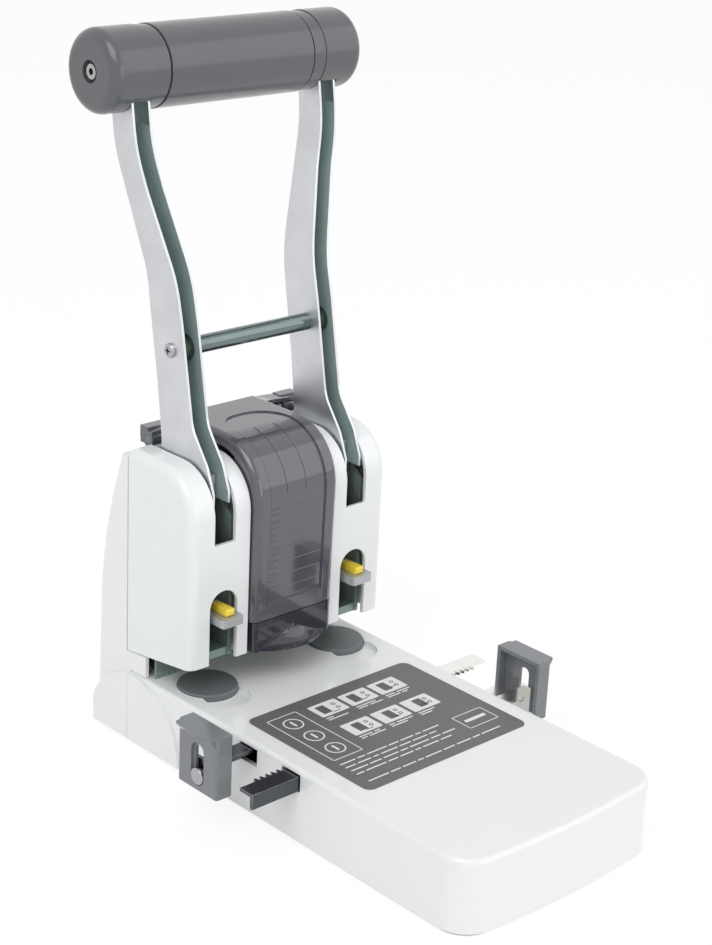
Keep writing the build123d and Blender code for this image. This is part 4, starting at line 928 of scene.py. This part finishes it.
class RibTree:
    """A geometry tree that repeats a small bar along a straight line."""

    INPUTS = (("Count", "NodeSocketInt"), ("Start", "NodeSocketVector"),
              ("Step", "NodeSocketVector"), ("Bar", "NodeSocketVector"),
              ("Finish", "NodeSocketMaterial"))
    CORNER_SHARE = 0.3  # rounding of the bars' edges, as a share of their thinnest side
    CORNER_ANGLE = 40.0

    def __init__(self) -> None:
        """Build the tree with its named inputs."""
        self.tree = bpy.data.node_groups.new("bar_row", "GeometryNodeTree")
        face = self.tree.interface
        self.sockets = {name: face.new_socket(name, in_out="INPUT", socket_type=kind).identifier
                        for name, kind in self.INPUTS}
        face.new_socket("Geometry", in_out="OUTPUT", socket_type="NodeSocketGeometry")
        given, line, cube, place, real, paint, result = (self.tree.nodes.new(kind) for kind in (
            "NodeGroupInput", "GeometryNodeMeshLine", "GeometryNodeMeshCube",
            "GeometryNodeInstanceOnPoints", "GeometryNodeRealizeInstances",
            "GeometryNodeSetMaterial", "NodeGroupOutput"))
        for source, target in (
                (given.outputs["Count"], line.inputs["Count"]),
                (given.outputs["Start"], line.inputs["Start Location"]),
                (given.outputs["Step"], line.inputs["Offset"]),
                (given.outputs["Bar"], cube.inputs["Size"]),
                (line.outputs["Mesh"], place.inputs["Points"]),
                (cube.outputs["Mesh"], place.inputs["Instance"]),
                (place.outputs["Instances"], real.inputs["Geometry"]),
                (real.outputs["Geometry"], paint.inputs["Geometry"]),
                (given.outputs["Finish"], paint.inputs["Material"]),
                (paint.outputs["Geometry"], result.inputs[0])):
            self.tree.links.new(source, target)

    def mesh(self, name: str, finish: bpy.types.Material, count: int, start: Triple, step: Triple,
             bar: Triple) -> bpy.types.Mesh:
        """Make a plain mesh of the repeated bar; lengths are in millimetres.

        Args:
            name: The mesh's name.
            finish: Its material.
            count: How many bars.
            start: The first bar's middle.
            step: From one bar to the next.
            bar: A bar's size.

        Returns:
            The mesh, with its corners rounded.
        """
        holder = placed("holder", bpy.data.meshes.new(name))
        modifier = holder.modifiers.new("row", "NODES")
        modifier.node_group = self.tree
        modifier[self.sockets["Count"]] = count
        for key, value in (("Start", start), ("Step", step), ("Bar", bar)):
            modifier[self.sockets[key]] = [length * MM for length in value]
        modifier[self.sockets["Finish"]] = finish
        return rounded(applied(holder), min(bar) * self.CORNER_SHARE, self.CORNER_ANGLE)


@dataclass
class ChipBin(Assembly):
    """The smoked cover with its ribs, marks and dark panel lines of painted shade, the drawer, and
    the hopper behind them.
    """

    panel_depth: float = 0.7
    lean: float = -1.2 / 58.0
    foot: Pair = (-20.3, 67.0)
    rib_x: float = 0.5
    rib_pitch: float = 6.6
    rib_low: float = 81.0
    rib_count: int = 7
    rib: Triple = (31.0, 0.5, 0.45)
    mark_x: float = -13.0
    mark_drop: float = 2.0
    mark: Triple = (4.5, 0.3, 0.4)
    rim_place: Pair = (-21.6, 80.0)
    rim_pitch: float = 11.6
    rim_count: int = 5
    rim_sunk: float = 0.1
    rim_mark: Triple = (1.6, 0.3, 0.5)
    nose_radius: float = 28.0
    nose_turns: Pair = (95.0, 80.0)
    nose_steps: int = 14
    nose_ribs: tuple[float, ...] = (-6.0, 5.5)
    nose_rib_half: float = 0.3
    nose_rib_radii: Pair = (27.1, 27.6)
    # dark lines of painted shade along the panel's sunk edge
    panel_half: float = 16.6
    panel_foot: float = 75.2
    panel_line: Pair = (0.4, 0.5)

    def front(self, z: float) -> float:
        """Return the y of the cover's front at a height."""
        return self.foot[0] + self.lean * (z - self.foot[1])

    def row(self, tree: RibTree, name: str, finish: Finish, count: int, middle: Pair, pitch: float,
            bar: Triple, sunk: float) -> None:
        """Add a row of bars up the cover's front; each stands half out of the wall it sits on.

        Args:
            tree: The tree that repeats the bar.
            name: The row's name.
            finish: Its finish.
            count: How many bars.
            middle: The x and z of the first bar's middle.
            pitch: The rise from one bar to the next.
            bar: A bar's size.
            sunk: How far behind the cover's front the wall lies.
        """
        start = (middle[0], self.front(middle[1]) + sunk, middle[1])
        step = (0.0, self.lean * pitch, pitch)
        mesh = tree.mesh(name, self.shop.finish(finish), count, start, step, bar)
        self.shop.add_piece(name, mesh, "bin_cover", "smoked")

    def nose(self, name: str, x: float, finish: Finish, foot_z: float | None = None) -> None:
        """Add a thin rib that follows the nose's arc; in the dark line finish it is painted shade
        along the panel's edge.

        Args:
            name: The rib's name.
            x: Its middle.
            finish: Its finish.
            foot_z: The height it starts from on the straight front; None keeps it on the arc.
        """
        low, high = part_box("waste_cover")
        centre = (low[1] / MM + self.nose_radius, high[2] / MM - self.nose_radius)
        first, whole = self.nose_turns
        turns = [math.radians(first + whole * step / self.nose_steps)
                 for step in range(self.nose_steps + 1)]
        line = [(math.cos(turn), math.sin(turn), centre[1]) for turn in turns]
        if foot_z is not None:
            line += [(-1.0, 0.0, centre[1]), (-1.0, 0.0, foot_z)]
        half, (inner, outer) = self.nose_rib_half, self.nose_rib_radii
        shape = bmesh.new()
        rings = []
        for across, up, z in line:
            shift = max(0.0, self.front(z) - low[1] / MM) if z < centre[1] else 0.0
            rings.append([
                shape.verts.new(((x + side) * MM, (centre[0] + radius * across + shift) * MM,
                                 (z + radius * up) * MM))
                for side, radius in ((-half, inner), (half, inner), (half, outer), (-half, outer))])
        for one, other in zip(rings, rings[1:]):
            for index in range(4):
                shape.faces.new((one[index], one[index - 1], other[index - 1], other[index]))
        shape.faces.new(rings[0])
        shape.faces.new(rings[-1][::-1])
        bmesh.ops.recalc_face_normals(shape, faces=shape.faces)
        mesh = rounded(mesh_from(shape, name), 0.0, 40.0)
        self.shop.add_piece(name, mesh, "bin_cover", "smoked", finish)

    def build(self) -> None:
        """Dress the bin's nodes, add the cover's ribs and marks, and line its panel with painted
        shade.
        """
        self.shop.refine("waste_cover", SMOKED, rounding=0.35)
        self.shop.refine("chip_drawer", DRAWER, rounding=0.5)
        self.shop.refine("chip_hopper", HOPPER_GREY, rounding=0.3)
        self.shop.refine("cover_hinge_pin", CHROME, rounding=0.1)
        tree = RibTree()
        depth = self.panel_depth
        self.row(tree, "bin_ribs", SMOKED_RIB, self.rib_count, (self.rib_x, self.rib_low),
                 self.rib_pitch, self.rib, depth)
        self.row(tree, "bin_marks", SMOKED_LINE, self.rib_count * 2,
                 (self.mark_x, self.rib_low - self.mark_drop), self.rib_pitch / 2, self.mark, depth)
        self.row(tree, "bin_rim_marks", SMOKED_RIB, self.rim_count, self.rim_place, self.rim_pitch,
                 self.rim_mark, self.rim_sunk)
        for index, x in enumerate(self.nose_ribs):
            self.nose(f"bin_nose_rib_{index}", x, SMOKED_RIB)
        # painted shade: dark lines along the panel's sides over the nose and along its foot
        for side in Side:
            self.nose(f"bin_panel_line_{side.word}", side.value * self.panel_half, SMOKED_LINE,
                      self.panel_foot)
        self.row(tree, "bin_panel_foot", SMOKED_LINE, 1, (0.0, self.panel_foot), 1.0,
                 (2 * self.panel_half, *self.panel_line), depth)


@dataclass
class SideGuides(Assembly):
    """The two guides on their racks, and the pinion that couples them."""

    def build(self) -> None:
        """Dress the guides' nodes."""
        self.shop.refine_all(["rack_front", "rack_rear"], RACK, rounding=0.12)
        self.shop.refine_all(["pinion", "rack_bridge"], BLACK, rounding=0.1)
        self.shop.refine_all(both("paper_guide"), GUIDE_GREY, rounding=0.9)
        self.shop.refine_all(both("guide_stud"), SCREW, rounding=0.15)


# ---------------------------------------------------------------- studio
@dataclass(frozen=True)
class Lamp:
    """A soft square lamp that faces the machine; lengths are in metres and power in watts."""

    name: str
    place: Triple
    size: float
    power: float
    aim: Triple = (0.0, -0.05, 0.12)

    def hang(self) -> None:
        """Hang the lamp in the scene."""
        data = bpy.data.lights.new(self.name, "AREA")
        data.size = self.size
        data.energy = self.power
        lamp = placed(self.name, data)
        lamp.location = self.place
        way = Vector(self.aim) - Vector(self.place)
        lamp.rotation_euler = way.to_track_quat("-Z", "Y").to_euler()


@dataclass
class Studio:
    """The pale floor, the lamps and the camera at the photograph's angle."""

    place: Triple = (-0.5917, -0.6755, 0.4698)
    azimuth: float = -43.756
    elevation: float = 20.626
    roll: float = 2.700
    focal_pixels: float = 2065.6
    long_side: float = 945.0
    sensor: float = 36.0
    centre_shift: float = 1.2
    near: float = 0.01
    sky: Pair = (0.66, 1.0)
    floor_reach: float = 6.0
    floor_tone: Triple = (0.9, 0.9, 0.9)
    floor_glow: float = 0.78
    glow: float = 1.06
    lamps: tuple[Lamp, ...] = (Lamp("key", (-1.1, -0.5, 1.5), 1.2, 12.0),
                               Lamp("fill", (1.3, -1.2, 1.0), 1.6, 6.0),
                               Lamp("low", (0.2, -1.8, 0.45), 1.0, 4.0))

    def camera(self) -> None:
        """Place the camera."""
        a, e, roll = (math.radians(v) for v in (self.azimuth, self.elevation, self.roll))
        back = Vector((math.sin(a) * math.cos(e), -math.cos(a) * math.cos(e), math.sin(e)))
        level = Vector((math.cos(a), math.sin(a), 0))
        upright = back.cross(level)
        right = math.cos(roll) * level + math.sin(roll) * upright
        up = math.cos(roll) * upright - math.sin(roll) * level
        data = bpy.data.cameras.new("camera")
        data.lens = self.focal_pixels * self.sensor / self.long_side
        data.sensor_width = self.sensor
        data.shift_x = self.centre_shift / self.long_side
        data.clip_start = self.near
        eye = placed("camera", data)
        turn = Matrix((right, up, back)).transposed().to_4x4()
        eye.matrix_world = Matrix.Translation(self.place) @ turn
        bpy.context.scene.camera = eye

    @staticmethod
    def seen_by_eye(tree: bpy.types.NodeTree) -> bpy.types.NodeSocket:
        """Tell the camera's rays from others, also through glass and by way of gloss.

        Args:
            tree: The tree to add the nodes to.

        Returns:
            A value that is 1 for such rays and 0 for others.
        """
        path = tree.nodes.new("ShaderNodeLightPath")
        total = path.outputs["Is Camera Ray"]
        for name in ("Is Glossy Ray", "Is Transmission Ray"):
            most = tree.nodes.new("ShaderNodeMath")
            most.operation = "MAXIMUM"
            tree.links.new(total, most.inputs[0])
            tree.links.new(path.outputs[name], most.inputs[1])
            total = most.outputs[0]
        return total

    def world(self) -> None:
        """Fill the world with even light, white to the eye and in reflections."""
        world = bpy.data.worlds.new("world")
        bpy.context.scene.world = world
        world.use_nodes = True
        tree = world.node_tree
        background = tree.nodes["Background"]
        background.inputs["Color"].default_value = (1, 1, 1, 1)
        level = tree.nodes.new("ShaderNodeMapRange")
        for key, amount in zip(("To Min", "To Max"), self.sky):
            level.inputs[key].default_value = amount
        tree.links.new(self.seen_by_eye(tree), level.inputs["Value"])
        tree.links.new(level.outputs["Result"], background.inputs["Strength"])

    def floor(self) -> None:
        """Lay a wide pale floor that keeps a faint shadow."""
        mesh = bpy.data.meshes.new("floor")
        corners = ((-1, -1), (1, -1), (1, 1), (-1, 1))
        mesh.from_pydata([(x * self.floor_reach, y * self.floor_reach, 0) for x, y in corners],
                         [], [(0, 1, 2, 3)])
        floor = placed("floor", mesh)
        recipe = Recipe("floor_white")
        recipe.set(Base_Color=(*self.floor_tone, 1), Roughness=0.9)
        glow = recipe.add("ShaderNodeEmission")
        glow.inputs["Strength"].default_value = self.glow
        mix = recipe.add("ShaderNodeMixShader")
        share = recipe.add("ShaderNodeMath", operation="MULTIPLY")
        share.inputs[1].default_value = self.floor_glow
        recipe.join(self.seen_by_eye(recipe.tree), share.inputs[0])
        recipe.join(share.outputs[0], mix.inputs["Fac"])
        recipe.join(recipe.shader.outputs[0], mix.inputs[1])
        recipe.join(glow.outputs[0], mix.inputs[2])
        recipe.join(mix.outputs[0], recipe.tree.nodes["Material Output"].inputs["Surface"])
        mesh.materials.append(recipe.material)

    def build(self) -> None:
        """Set up the floor, the light and the camera."""
        self.world()
        self.floor()
        for lamp in self.lamps:
            lamp.hang()
        self.camera()
        bpy.context.scene.view_settings.view_transform = "Standard"


def main() -> None:
    """Build and dress the whole machine, then set up the studio."""
    logging.basicConfig(level=logging.INFO, format="%(message)s")
    shop = Workshop()
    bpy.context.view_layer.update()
    for part in (Base(shop), PrintedPlate(shop), Head(shop), PunchUnits(shop), ChipBin(shop),
                 Lever(shop), SideGuides(shop), Studio()):
        part.build()


if __name__ == "__main__":
    main()
